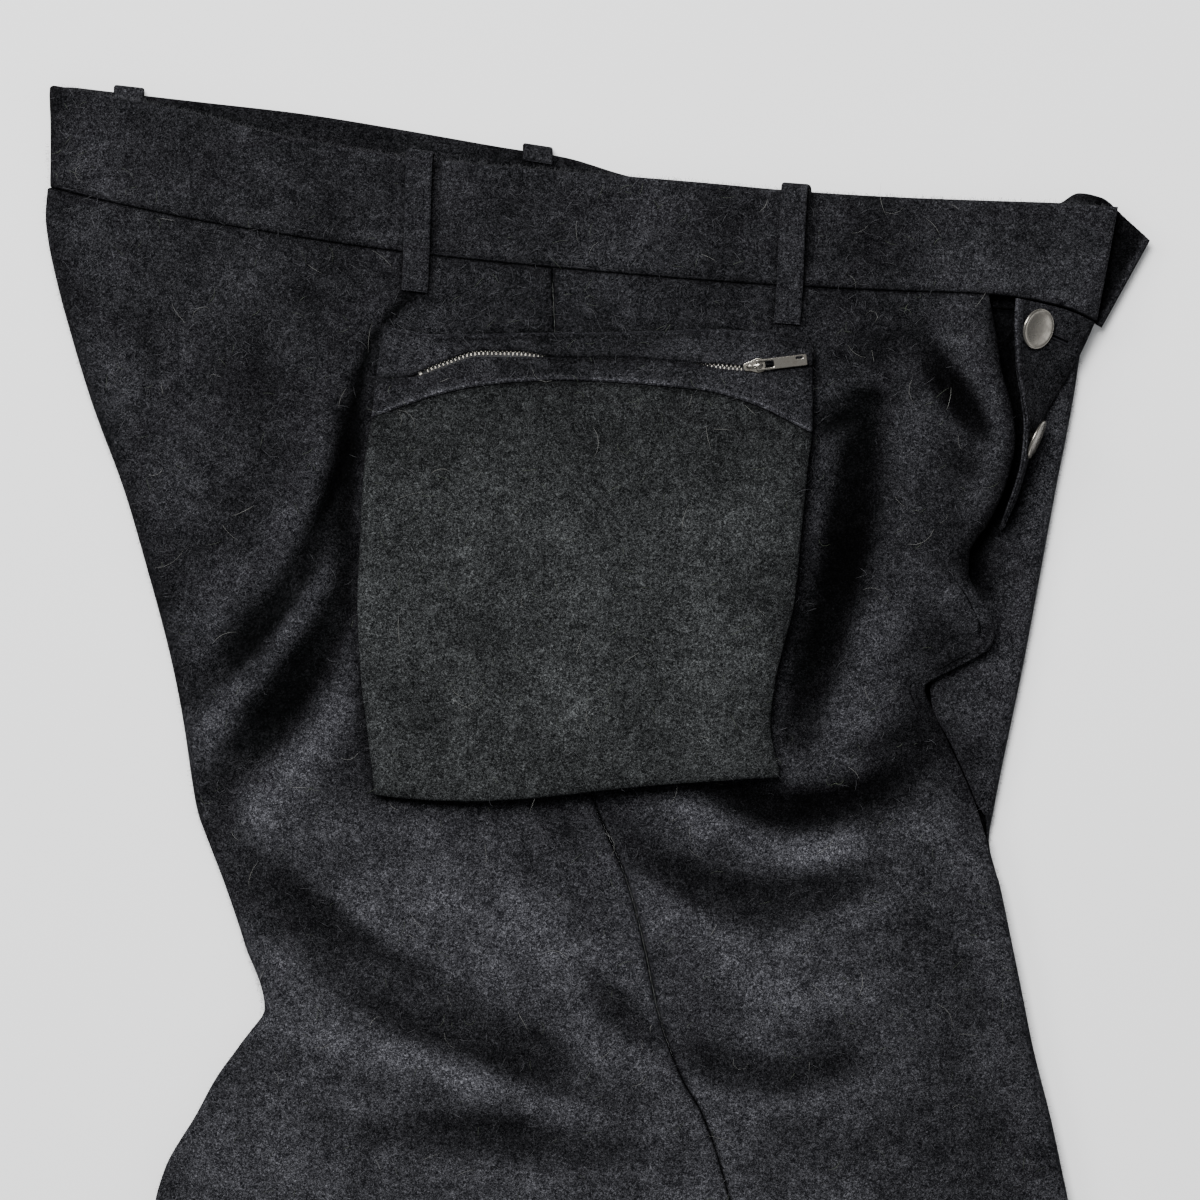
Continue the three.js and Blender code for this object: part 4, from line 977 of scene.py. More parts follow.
# %% Rows down a panel
WAIST_FADE = (90, 300)  # the rows follow the waist seam, and level out between these
near_start, far_start = float(near_seam(200)), float(far_seam(200))


def near_drop(row, x):
    """Drop of a row of the near side, which starts along the waist seam."""
    return row + (near_seam(x) - near_start) * (1 - smooth(*WAIST_FADE, row))


def far_drop(row, x):
    """Drop of a row of the far side, along its own waist seam."""
    return row + (far_seam(x) - far_start) * (1 - smooth(*WAIST_FADE, row))


def edge_along(edge, drop_at, row):
    """x of an edge along a row whose drop changes with x."""
    x = edge(row)
    for _ in range(8):
        x = edge(drop_at(row, x))
    return x


def row_drops(first, close, close_end, wide):
    """Rows from the waist to the hem: close where the folds lie, wider down the leg."""
    upper = np.linspace(first + RIM[-1], close_end, int((close_end - first) / close))
    lower = np.linspace(close_end, LENGTH - RIM[-1], int((LENGTH - close_end) / wide))
    rows = [first + RIM[:-1], upper, lower[1:], LENGTH - RIM[:-1][::-1]]
    return np.concatenate(rows)[:, None]


near_rows = row_drops(near_start + 0.05, 2.5, 456, 9)
far_rows = row_drops(far_start + 0.05, 5, 430, 12)
print(len(near_rows), "rows on the near side and", len(far_rows), "on the far side")

# %% [markdown]
# ## How each panel is folded
# Four short functions say where each panel's seam, fold and second layer are, at a drop.
# Turn is 1 where the cloth runs right back under itself, and less where it only comes
# round the edge, as at the crotch, or stays flat, as at the fly.

# %% The back panels
SIDE_X = 210  # near enough to the side seam to read the drop of a row there
SEAM_CLEAR = 4.5  # an inner seam stays this far from the fold
UNDER_WAIST, UNDER_EASE = 2, 16  # the lower layers rise to the waistband over this drop


def waist_lift(row, start):
    """How far a layer on the floor is lifted by the waistband that it is sewn to."""
    return UNDER_WAIST * np.exp(-np.maximum(0, row - start) / UNDER_EASE)


def near_layer(row):
    """Height of the layer on top, for any x along a row."""
    return lambda x: near_height(x, near_drop(row, x))


def far_layer(row):
    """Height of the layer on the floor, for any x along a row."""
    return lambda x: FLOOR_LAYER + waist_lift(row, far_start) + 0 * x


def panel_shape(row, drop_at, side, edge, first_z, second_z, turn, second_end):
    """Where a panel's seam, edge and two layers are; side is -1 towards the seat."""
    return {
        "seam": side_seam(drop_at(row, SIDE_X)) + side * SEAM_GAP / 2,
        "edge": edge,
        "side": side,
        "first_z": first_z,
        "second_z": second_z + 0 * row,
        "turn": turn,
        "second_end": second_end,
    }


def near_back(row):
    """The near back lies over the seat fold and round to the centre back seam."""
    edge = edge_along(seat_edge, near_drop, row) + CLOTH / 2
    drop = near_drop(row, edge)
    on_floor = FLOOR_LAYER + waist_lift(row, near_start)
    under = lerp(on_floor, NEAR_INNER, smooth(350, 388, drop))
    closing = smooth(322, 366, drop) * smooth(402, 376, drop)
    above = np.maximum(centre_back(drop), edge + SEAM_CLEAR)
    below = crotch(edge + 4, BACK_NOTCH + 16, drop) - SEAM_GAP / 2
    end = np.where(drop < BACK_NOTCH, above, below)
    return panel_shape(row, near_drop, -1, edge, near_layer(row), under, 1 - 0.85 * closing, end)


def far_back(row):
    """The far back lies on the floor from the side seam to the centre back seam."""
    edge = edge_along(seat_edge, far_drop, row) + CLOTH / 2
    drop = far_drop(row, edge)
    turn = smooth(358, 398, drop)
    open_edge = np.maximum(centre_back(drop), edge + SEAM_CLEAR) + 3 * SEAM_GAP
    inner = np.maximum(crotch(edge + 4, BACK_NOTCH + 20, drop), edge + 5) - SEAM_GAP / 2
    edge = lerp(open_edge, edge, smooth(352, 374, drop))
    return panel_shape(row, far_drop, -1, edge, far_layer(row), FAR_INNER, turn, inner)


print("centre back seam", round(float(centre_back(200) - seat_edge(200)), 1), "mm in")


# %% The front panels
def near_front(row):
    """The near front ends at the fly edge, and below the crotch goes round the leg."""
    on_top = edge_along(fly_edge, near_drop, row)
    outline = edge_along(fly_silhouette, near_drop, row)
    drop = near_drop(row, outline - CLOTH / 2)
    open_edge = np.minimum(on_top, outline) - SEAM_GAP / 2
    edge = np.where(drop < FRONT_NOTCH, open_edge, outline - CLOTH / 2)
    turn = smooth(304, 336, drop)
    end = np.minimum(crotch(edge - 4, 318, drop), edge - 6) + SEAM_GAP / 2
    return panel_shape(row, near_drop, 1, edge, near_layer(row), NEAR_INNER, turn, end)


def far_front(row):
    """The far front lies on the floor and comes over the fly fold as its underlap."""
    outline = edge_along(fly_silhouette, far_drop, row) - CLOTH / 2
    drop = far_drop(row, outline)
    over = lerp(6.6, FAR_INNER, smooth(286, 318, drop))
    closing = 1 - 0.5 * smooth(284, 303, drop)
    opening = lerp(0.5, 1, smooth(303, 330, drop))
    in_leg = np.minimum(crotch(outline - 4, 320, drop), outline - 5) + SEAM_GAP / 2
    lapped = np.minimum(underlap_edge(drop) + SEAM_GAP / 2, outline - 8)
    turn = np.where(drop > FRONT_NOTCH, opening, closing)
    end = np.where(drop > FRONT_NOTCH, in_leg, lapped)
    return panel_shape(row, far_drop, 1, outline, far_layer(row), over, turn, end)


print("fly edge at the waist", round(float(fly_edge(90)), 1), "mm")

# %% [markdown]
# ## Relief maps
# The painted light of the wool follows its shape: crests get a painted highlight and
# hollows painted shade. So the height of everything that lies on top is sampled first on an
# even map, 2 mm a step. What stands over a blurred copy of the map is a crest, and the
# map's slope is read too.

# %% Height of the pocket
POCKET_RISE = {"left": 3.4, "right": 8.6, "foot_left": 3.6, "foot_right": 7.6, "middle": 3.6}
POCKET_ROLL = 6  # the front rolls down over this width at its edges


def pocket_share(x, drop):
    """Place of a point across and down the pocket, each from 0 to 1."""
    left, right = pocket_left(drop), pocket_right(drop)
    top, foot = pocket_top(x), pocket_foot(x)
    u = np.clip((x - left) / (right - left), 0, 1)
    return u, np.clip((drop - top) / (foot - top), 0, 1)


def pocket_height(x, drop):
    """Height of the middle of the pocket's cloth."""
    u, v = pocket_share(x, drop)
    left = POCKET_RISE["left"] * smooth(-0.12, 0.35, v)
    right = POCKET_RISE["right"] * smooth(-0.16, 0.2, v)
    foot = lerp(POCKET_RISE["foot_left"], POCKET_RISE["foot_right"], u)
    edge = lerp(lerp(left, right, smooth(0, 1, u)), foot, smooth(0.6, 1, v))
    crown = np.sin(np.pi * u) ** 0.6 * smooth(0, 0.4, v)
    rise = edge + POCKET_RISE["middle"] * crown
    across = inside_pocket(x, drop)[0]
    near_edge = np.clip(np.minimum(across, pocket_foot(x) - drop) / POCKET_ROLL, 0, 1)
    roll = np.minimum(rise * 0.55, 3) * (1 - np.sqrt(1 - (1 - near_edge) ** 2 * 0.98))
    swell = 0.9 * felt_swell(x, drop, 21) * smooth(0, 10, np.minimum(across, 400))
    return near_height(x, drop) + CLOTH + SEAM_GAP + rise - roll + swell


print("pocket's middle", round(float(pocket_height(210, 200)), 1), "mm up")

# %% Maps of height, crests and slopes
RELIEF_STEP = 2.0
RELIEF_LOW = (-40.0, -40.0)  # x and drop of the map's first corner
RELIEF_HIGH = (480, 1120)


def blur(field, width):
    """A field of heights blurred by a bell of a width in steps, both ways."""
    reach = int(3 * width)
    weights = np.exp(-0.5 * (np.arange(-reach, reach + 1) / width) ** 2)
    weights /= weights.sum()
    padded = np.pad(field, reach, mode="edge")
    down = np.apply_along_axis(lambda line: np.convolve(line, weights, "valid"), 0, padded)
    return np.apply_along_axis(lambda line: np.convolve(line, weights, "valid"), 1, down)


def relief_map(with_pocket):
    """Height of what lies on top, on even steps of drop and x."""
    x = np.arange(RELIEF_LOW[0], RELIEF_HIGH[0], RELIEF_STEP)[None, :]
    drop = np.arange(RELIEF_LOW[1], RELIEF_HIGH[1], RELIEF_STEP)[:, None]
    x, drop = np.broadcast_arrays(x, drop)
    height = near_height(x, drop)
    if with_pocket:
        covered = np.minimum(*inside_pocket(x, drop)) > 0
        height = np.where(covered, pocket_height(x, drop), height)
    on_band = drop < near_seam(x)
    return np.where(on_band, near_seam_z(x) + 0.5, height)


def read_relief(field, x, drop):
    """Values of a field of the relief map at points, between its steps."""
    u = np.clip((x - RELIEF_LOW[0]) / RELIEF_STEP, 0, field.shape[1] - 1.001)
    v = np.clip((drop - RELIEF_LOW[1]) / RELIEF_STEP, 0, field.shape[0] - 1.001)
    i, j = np.floor(v).astype(int), np.floor(u).astype(int)
    s, t = v - i, u - j
    upper = lerp(field[i, j], field[i, j + 1], t)
    return lerp(upper, lerp(field[i + 1, j], field[i + 1, j + 1], t), s)


def crest_map(field):
    """How far each point stands over its surroundings."""
    return field - 0.6 * blur(field, 5) - 0.4 * blur(field, 10)


def slope_map(field):
    """How steep the cloth is at each point."""
    return np.hypot(*np.gradient(blur(field, 1.2), RELIEF_STEP))


RELIEF = relief_map(True)
BODY_RELIEF = relief_map(False)
CREST, SLOPE = crest_map(BODY_RELIEF), slope_map(BODY_RELIEF)
print("relief map", RELIEF.shape, "crests", round(CREST.max(), 1), round(CREST.min(), 1), "mm")

# %% [markdown]
# ## Painted light on the cloth
# Each point of a shell carries one number, painted_light, which the felt material reads: 0 is
# dark, as in a seam or in the painted shade of a hollow, 1 is a crest with a painted highlight.
# It starts from the crests and slopes. Then every seam darkens it, every loop, crease line and
# lap takes some of it away as painted shade, and the rolled edges get a little more as a
# painted highlight. A table gives how much painted light the body and the pocket get down
# the leg.

# %% Painted light down the leg
# Painted light for the body and the pocket: weaker near the waist, stronger down the leg.
PAINTED_LIGHT_DOWN_LEG = table(
    "drop body pocket",
    (0, 0.58, 0.6),
    (118, 0.56, 0.6),
    (140, 0.56, 0.64),
    (176, 0.56, 0.9),
    (220, 0.62, 0.96),
    (286, 0.9, 0.9),
    (320, 1.04, 0.9),
    (470, 1.08, 0.9),
    (LENGTH, 1.02, 0.9),
)
body_painted_light = curve(PAINTED_LIGHT_DOWN_LEG, "drop", "body")
pocket_painted_light = curve(PAINTED_LIGHT_DOWN_LEG, "drop", "pocket")
LOOP_WIDE = 10.5
NEAR_LOOPS = (
    {"name": "belt_loop_near_back", "x": 147.6, "lean": 3.6, "below": 15, "twist": 1.6},
    {"name": "belt_loop_near_front", "x": 297.4, "lean": 5.4, "below": 15, "twist": 0.3},
)


def beside_loops(x, drop):
    """1 right beside a near belt loop, where its painted shadow falls, fading to 0 away from it.
    """
    shade = np.zeros(x.shape)
    for loop in NEAR_LOOPS:
        top, end = float(near_top(loop["x"])), float(near_seam(loop["x"])) + loop["below"]
        middle = loop["x"] + loop["lean"] * (0.5 - (drop - top) / (end - top))
        away = np.maximum(np.abs(x - middle) - LOOP_WIDE / 2 - 0.15, drop - end)
        shade = np.maximum(shade, bell(np.maximum(away, 0), 1.5))
    return shade


print("rubbed at the knee:", float(body_painted_light(600)), "of its crests' tone")


# %% Painted light on the body
def on_body(x, drop):
    """Painted light on the near body: pale crests, painted shade in hollows, darker seams."""
    crest, slope = read_relief(CREST, x, drop), read_relief(SLOPE, x, drop)
    # Painted light from the shape: paler crests, painted shade in hollows and on steep slopes.
    painted_light = 0.5 + 0.5 * np.tanh(0.48 * crest - 1.2 * np.maximum(0, slope - 0.14))
    to_fly = np.where(drop < FRONT_NOTCH, fly_edge(drop), fly_silhouette(drop)) - x
    beside_strip = smooth(214, 196, drop)
    # Painted shade where the cloth rolls down to the fly's edge; a painted highlight on the
    # bulge's edge.
    rolls_in = smooth(9, -1, np.abs(to_fly)) * smooth(86, 92, drop) * lerp(0.15, 1, beside_strip)
    painted_light = painted_light * (1 - 0.7 * rolls_in)
    bulge = (1 - beside_strip) * smooth(258, 240, drop)
    painted_light = painted_light + 0.22 * bulge * bell(to_fly - 1.6, 1.2)
    # Darker along the waist seam, the side seam and the pocket's top; painted shadow beside the
    # pocket and the loops; painted shade along the crease lines.
    in_seam = bell(drop - near_seam(x), 0.9)
    beside_pocket = under_pocket(x, drop) * smooth(97, 108, drop)
    over_top = smooth(128, 136, x) * smooth(304, 296, x)
    at_top = 0.6 * over_top * bell(drop - pocket_top(x), 1.1)
    below_band = smooth(-1, 1, drop - near_seam(x))
    in_side_seam = 0.85 * below_band * bell(x - side_seam(drop), 1.1)
    crease_shade = np.minimum(fold_height(CREASE_SHADE_LINES, x, drop), 0.85)
    beside = np.maximum(0.75 * beside_loops(x, drop), 0.8 * beside_pocket)
    darks = (0.8 * in_seam, in_side_seam, at_top, beside, crease_shade)
    dark = np.maximum.reduce(np.broadcast_arrays(*darks))
    # Painted shade towards the fly, and the painted light down the leg.
    fly = 1 - 0.22 * smooth(300, 350, x) * smooth(90, 130, drop)
    return painted_light * body_painted_light(drop) * fly * (1 - dark)


print("rub on a crest of the thigh", round(float(on_body(np.array([150.0]), 400)[0]), 2))


# %% Painted light on the pocket and the far side
def on_pocket(x, drop):
    """Painted light on the pocket's front: uneven, darker along its seam, weaker near its top."""
    crown = 0.5 + 0.05 * unevenness(x, drop, 26, 41)
    along_seam = 0.6 * bell(drop - pocket_seam(x) - 0.3, 1.1)
    return crown * pocket_painted_light(drop) * (1 - along_seam)


def on_pocket_band(x, drop):
    """Bands round the zip: dark, painted shade at the lips, a painted highlight on the curved
    seam's rolled edge.
    """
    rolled = bell(drop - pocket_seam(x) + 1.1, 0.8)
    at_lips = 0.5 * bell(drop - pocket_zip(x), 1.6)
    # A darker line along the topstitching.
    topstitch = 0.45 * bell(drop - pocket_top(x) - 2.2, 0.8)
    return 0.32 * (1 - at_lips) * (1 - topstitch) + 0.6 * rolled


def on_far_front(x, drop):
    """The underlap: deep shade beside the fly's edge, and even in the open."""
    clear = smooth(3, 17, x - fly_edge(drop))
    deep = lerp(0.3, 1, smooth(214, 196, drop)) * smooth(330, 300, drop)
    open_part = lerp(1, clear, deep)
    behind_strip = smooth(391, 385, x) * smooth(182, 162, drop)
    return 0.45 * (0.04 + 0.96 * open_part) * (1 - behind_strip)


def on_far_band(x, drop):
    """The inner face of the far band is in shade behind the near one."""
    low_end, slant = (421.2, 97.6), (0.875, 0.485)
    from_end = (low_end[0] - x) * slant[0] + (low_end[1] - drop) * slant[1]
    edge = bell(from_end - 1.5, 1.2) * smooth(400, 412, x)
    return 0.15 - 0.12 * smooth(410, 420, x) + 0.32 * edge


print("rub in the pocket's middle", round(float(on_pocket(210, 200)), 2))

# %% [markdown]
# ## From a grid to a finished piece
# One function does the same for every piece of cloth: it builds the shell, gives it its
# material, says which solid it replaces and writes its painted light. The outer face has as
# many points as the grid. Those after them are the inner face, which gets one dark tone of
# painted shade.

# %% Make a piece of cloth
GRIDS = {}
# The inner face gets one tone of painted shade.
INNER_PAINTED_SHADE = 0.2


def write_painted_light(piece, values):
    """Stores each point's painted light, how pale it is, as an attribute of the mesh."""
    own = piece.data.attributes.new("painted_light", "FLOAT", "POINT")
    own.data.foreach_set("value", values.astype(np.float32))


def make_cloth(name, grid, thick, outward, finish, painted_tone=None, inside=INNER_PAINTED_SHADE, swell=None):
    """A closed shell on a grid, in the place of the solid of the same name."""
    GRIDS[name] = grid
    points, faces = shell(grid, thick, outward, swell)
    piece = make_piece(name + "_cloth", points, faces, finish, "wool", replaces=[name])
    if painted_tone:
        painted_light = painted_tone(*measure(points_of(piece.data)))
        painted_light[grid.shape[0] * grid.shape[1] :] = inside
        write_painted_light(piece, painted_light)
    print(name, grid.shape[:2], "points, area", round(mid_area(grid), 4), "square metres")
    return piece


# %% Build the four panels
PANELS = (
    ("near_back", near_back, near_rows, near_drop, (96, 20), 1, on_body, INNER_PAINTED_SHADE),
    ("near_front", near_front, near_rows, near_drop, (86, 20), -1, on_body, INNER_PAINTED_SHADE),
    ("far_back", far_back, far_rows, far_drop, (46, 20), -1, on_body, INNER_PAINTED_SHADE),
    ("far_front", far_front, far_rows, far_drop, (46, 24), 1, on_far_front, 0.04),
)
for name, shape, rows, drop_at, counts, outward, painted_tone, inside in PANELS:
    x, z = layers(shape(rows), *counts)
    make_cloth(name, place(x, drop_at(rows, x), z), CLOTH, outward, WOOL, painted_tone, inside)

# %% [markdown]
# ## Waistbands
# The near waistband is two layers of the cloth, sewn and turned: it runs from its end at
# the fly to the seat fold and round under it. Behind its top edge the inner face of the
# far waistband shows.


# %% Waistbands
def near_band_grid():
    """Rows from the band's top edge to its lower seam."""
    share = with_rims(16, 40)[:, None]
    edge = -0.6 + BAND / 2 + 0 * share
    shape = {
        "seam": BAND_END - BAND_END_SLANT * share,
        "edge": edge,
        "side": -1,
        "first_z": lambda x: lerp(near_top_z(x), near_seam_z(x), share),
        "second_z": np.full_like(share, UNDER_BAND),
        "turn": np.ones_like(share),
        "second_end": centre_back(0) - SEAM_GAP / 2 + 0 * share,
    }
    x, z = layers(shape, 190, 10)
    under = smooth(9, 5, z) * smooth(0, 10, x)
    top = lerp(near_top(x), 3 * x / 25, under)
    return place(x, lerp(top, near_seam(x), share), z)


def far_band_grid():
    """The far band's columns, filled in along smooth curves."""
    share = with_rims(10, 40)[:, None]
    across = with_rims(130, 420)[None, :] * (len(FAR_BAND["z"]) - 1)
    read = {name: column(across) for name, column in column_curves(FAR_BAND).items()}
    x = lerp(read["top_x"], read["low_x"], share)
    drop = lerp(read["top_drop"], read["low_drop"], share)
    return place(x, drop, read["z"])


BANDS = (
    ("waistband_near", near_band_grid(), 1, on_body),
    ("waistband_far", far_band_grid(), -1, on_far_band),
)
for name, grid, outward, painted_tone in BANDS:
    swell = 0.7 * felt_swell(*measure(grid), 33)
    make_cloth(name, grid, BAND, outward, WOOL, painted_tone, swell=swell)

# %% [markdown]
# ## The cargo pocket
# A bellows pocket is a flat front on a gusset, a strip that lets it stand off the leg.
# Its front rolls over at the edges. Above the front a curved band carries the zip. The
# band's two lips almost meet over the middle of the zip, so that its teeth show only at
# the ends, and towards the seat the upper lip hangs over half of them.

# %% Lips over the zip
ZIP = {"start": 148, "end": 280}  # x of the chain's two ends
OPEN_ZIP = 2.2  # the gap at which a lip lies flat; it arches up where the gap is less


def zip_gap(x):
    """How far the lower lip is from the zip's middle."""
    left = 1.9 * smooth(141, 153, x) * smooth(204, 186, x)
    right = 1.0 * smooth(256, 270, x) * smooth(300, 288, x)
    return left + right + 0.03


def upper_gap(x):
    """The upper lip hangs over half of the teeth towards the seat."""
    return zip_gap(x) * lerp(0.25, 1, smooth(230, 250, x))


def zip_closed(x):
    """Almost 1 where the lips meet, and less where they part."""
    return 1 - zip_gap(x) / OPEN_ZIP


print("lips part by", round(float(zip_gap(170) + upper_gap(170)), 1), "mm at the seat end")

# %% Pocket front, bands and gusset
POCKET_WALL, GUSSET_WALL, GUSSET_INSET = 1.6, 1.4, 2.4
HALF_GAP = SEAM_GAP / 2


def pocket_grid(upper, lower, rows, lips=0.0):
    """A part of the pocket between two curves across it; lips is how far they arch up."""
    t, u = rows[:, None], with_rims(84, 172)[None, :]
    x = lerp(126, 300, u) + 0 * t
    for _ in range(12):
        drop = lerp(upper(x), lower(x), t)
        x = lerp(pocket_left(drop), pocket_right(drop), u)
    arch = lips * zip_closed(x) * bell(drop - pocket_zip(x), 3.2)
    return place(x, drop, pocket_height(x, drop) + arch)


def gusset_grid():
    """A wall round the pocket's sides and foot, under its rolled edge."""
    inset = GUSSET_INSET
    sides = np.linspace(128, 270, 40)
    feet = np.linspace(0.06, 0.94, 50)
    foot_x = lerp(pocket_left(284) + inset, pocket_right(280) - inset, feet)
    left_x, right_x = pocket_left(sides) + inset, pocket_right(sides[::-1]) - inset
    x = np.concatenate([left_x, foot_x, right_x])
    drop = np.concatenate([sides + 8, pocket_foot(foot_x) - inset, sides[::-1] + 8])
    low = near_height(x, drop) + CLOTH / 2 + 2 * SEAM_GAP
    high = pocket_height(x, drop) - CLOTH * 0.4 - SEAM_GAP - 1.6
    t = np.linspace(0, 1, 7)[:, None]
    return place(x, drop, lerp(low, np.maximum(high, low + 1), t))


POCKET_GRIDS = {
    "pocket_front": pocket_grid(
        lambda x: pocket_seam(x) + HALF_GAP,
        lambda x: pocket_foot(x) - HALF_GAP,
        with_rims(76, 160),
    ),
    "pocket_band_lower": pocket_grid(
        lambda x: pocket_zip(x) + zip_gap(x),
        lambda x: pocket_seam(x) - HALF_GAP,
        with_rims(10, 14),
        lips=0.9,
    ),
    "pocket_band_upper": pocket_grid(
        pocket_top, lambda x: pocket_zip(x) - upper_gap(x), with_rims(8, 10), lips=1.2
    ),
}
for name, grid in POCKET_GRIDS.items():
    front = name == "pocket_front"
    finish, painted_tone = (POCKET_WOOL, on_pocket) if front else (WOOL, on_pocket_band)
    make_cloth(name, grid, POCKET_WALL, -1, finish, painted_tone)
make_cloth("pocket_gusset", gusset_grid(), GUSSET_WALL, 1, WOOL, on_pocket_band)

# %% [markdown]
# ## Belt loops
# A loop is a strip of cloth folded to 10 mm, turned over the band's edge and sewn down
# below the seam. It stands off the band a little. Three more show only as bumps at the
# far band's edge. Each is a strap along a smooth line of points of drop and height.


# %% Straps along a line
def smooth_line(points, count):
    """A line of many points through a few, by a spline of Catmull and Rom."""
    given = np.array(points, float)
    padded = np.concatenate([2 * given[:1] - given[1:2], given, 2 * given[-1:] - given[-2:-1]])
    at = np.linspace(0, len(given) - 1, count)
    i = np.minimum(at.astype(int), len(given) - 2)
    t = (at - i)[:, None]
    a, b, c, d = (padded[i + k] for k in range(4))
    return 0.5 * (
        2 * b + (c - a) * t + (2 * a - 5 * b + 4 * c - d) * t**2 + (3 * b - a - 3 * c + d) * t**3
    )


def strap_grid(line, wide, slope, shift, twist=0.0):
    """A strap of even width along points of drop and height."""
    t = np.linspace(0, 1, len(line))[:, None]
    across = (with_rims(8, wide) - 0.5)[None, :] * wide
    x = shift(t) + across
    z = line[:, 1:] + across / wide * twist * np.sin(np.pi * t) ** 2
    return place(x, line[:, :1] + across * slope, z)


# %% The five loops
LOOP_OVER, LOOP_TAIL, LOOP_LIFT = 2, 7, 0.5  # over the band's edge, down inside it, off it
LOOP_CLEAR = BAND / 2 + STRAP / 2 + LOOP_LIFT
FAR_LOOPS = (
    {"name": "belt_loop_centre_back", "x": 31, "wide": 12},
    {"name": "belt_loop_far_back", "x": 195, "wide": 12},
    {"name": "belt_loop_far_front", "x": 345, "wide": LOOP_WIDE},
)


def near_loop_grid(loop):
    """A near loop: inside the band, over its top edge and down below its seam."""
    x, lean, below = loop["x"], loop["lean"], loop["below"]
    top, seam = float(near_top(x)), float(near_seam(x))
    start = float(near_top_z(x))

    def outside(share):
        return float(lerp(near_top_z(x), near_seam_z(x), share))

    middle, low = lerp(top, seam, 0.25), lerp(top, seam, 0.6)
    fold_z = float(near_height(x, seam + below * 0.55))
    end_z = float(near_height(x - lean, seam + below))
    line = [
        (top + LOOP_TAIL, start - LOOP_CLEAR),
        (top - 1, start - LOOP_CLEAR),
        (top - LOOP_OVER, start - LOOP_CLEAR * 0.5),
        (top - LOOP_OVER, start + LOOP_CLEAR * 0.5),
        (top - 0.8, start + LOOP_CLEAR + 0.5),
        (middle, outside(0.25) + LOOP_CLEAR + 1.2),
        (low, outside(0.6) + LOOP_CLEAR + 1.4),
        (seam - 1, outside(1) + LOOP_CLEAR + 0.8),
        (seam + below * 0.55, fold_z + LOOP_CLEAR - 0.2),
        (seam + below, end_z + LOOP_CLEAR - 0.3),
    ]
    slope = float(near_top(x + 5) - near_top(x - 5)) / 10
    line = smooth_line(line, 90)
    return strap_grid(line, LOOP_WIDE, slope, lambda t: x + lean * (0.5 - t), loop["twist"])


def far_loop_grid(loop):
    """A far loop: on the floor under the band, and over its top edge."""
    x = loop["x"]
    top = float(far_top(x))
    line = [
        (top + 36, STRAP / 2),
        (top + 1, STRAP / 2),
        (top - 1.2, STRAP / 2 + 0.1),
        (top - LOOP_OVER, UNDER_BAND - 0.9),
        (top - LOOP_OVER, UNDER_BAND + 0.9),
        (top - 1, UNDER_BAND + LOOP_CLEAR - 0.3),
        (top + 4, UNDER_BAND + LOOP_CLEAR),
    ]
    slope = float(far_top(x + 5) - far_top(x - 5)) / 10
    return strap_grid(smooth_line(line, 60), loop["wide"], slope, lambda t: x + 0 * t)


LOOP_WOOL = felt_material("loop_wool", **CHARCOAL, cloudiness=0.3, painted_light=0.34)
for loops, loop_grid in ((NEAR_LOOPS, near_loop_grid), (FAR_LOOPS, far_loop_grid)):
    for loop in loops:
        grid = loop_grid(loop)
        make_cloth(loop["name"], grid, STRAP, -1, LOOP_WOOL)
        print("  it is", round(float(run_length(grid, 0)[-1, 0]) / MM), "mm long")

# %% [markdown]
# ## The fly strip
# The buttonholes are worked in a strip behind the fly. It has turned over, and its free
# edge stands up towards the camera, with a row of stitches along it. The two buttonholes
# are cut through with a Boolean modifier: a round eye for the post and a slit.

# %% The strip's shape and its buttons' places
FLY_STRIP = table(
    "free_x free_drop free_z base_x base_drop base_z",
    (386.2, 86.2, 15, 418.2, 95.8, 11.4),
    (385.6, 92, 19.4, 415, 103, 9.6),
    (385.4, 98, 22.6, 411, 111, 8.9),
    (386, 112, 25, 404.4, 122, 8.9),
    (388.4, 127, 25.4, 397.6, 134, 8.9),
    (389.8, 138, 25, 392.8, 145, 8.9),
    (388.8, 151, 23, 389.8, 155, 8.9),
    (385.4, 164, 19.6, 386.4, 166, 8.9),
    (379.6, 178, 15.6, 380.6, 179, 8.9),
)
BUTTONS = (
    {"row": 1.5, "across": 0.21, "look": (0.64, -0.24, 0.74), "stand": 5.6, "slit": 18.4},
    {"row": 5, "across": 0.48, "look": (0.89, -0.4, 0.2), "stand": 3.4, "slit": 6.6},
)
STRIP_TIP = 0.7  # the share from the free edge at which the strip's foot comes to a point
strip_read = column_curves(FLY_STRIP)


def across_strip(measure_name, row, t):
    """x, drop or z of the strip, between its free edge and its base."""
    free, base = strip_read["free_" + measure_name], strip_read["base_" + measure_name]
    return lerp(free(row), base(row), t)


def strip_points(row, t):
    """Points of the strip's middle: row runs down it, t from its free edge to its base."""
    t = STRIP_TIP + (t - STRIP_TIP) * (1 - 0.85 * smooth(7.2, 8, row))
    start_x, start_drop = across_strip("x", 0, t), across_strip("drop", 0, t)
    to_seam = near_seam(start_x) + 2 * SEAM_GAP - start_drop
    drop = across_strip("drop", row, t) + to_seam * np.clip(1 - row, 0, 1)
    z = across_strip("z", row, t) - 0.6 * np.sin(np.pi * t)
    return place(across_strip("x", row, t), drop, z)


def axes_at(point, along, side, out):
    """A matrix from a point and three directions."""
    turn = Matrix((along, side, out)).transposed().to_4x4()
    turn.translation = point
    return turn


def apply_modifier(piece, kind, **settings):
    """Adds a modifier to a piece and makes its result the piece's mesh."""
    modifier = piece.modifiers.new(kind.lower(), kind)
    for key, value in settings.items():
        setattr(modifier, key, value)
    graph = bpy.context.evaluated_depsgraph_get()
    made = bpy.data.meshes.new_from_object(piece.evaluated_get(graph))
    piece.modifiers.clear()
    old = piece.data
    piece.data = made
    bpy.data.meshes.remove(old)


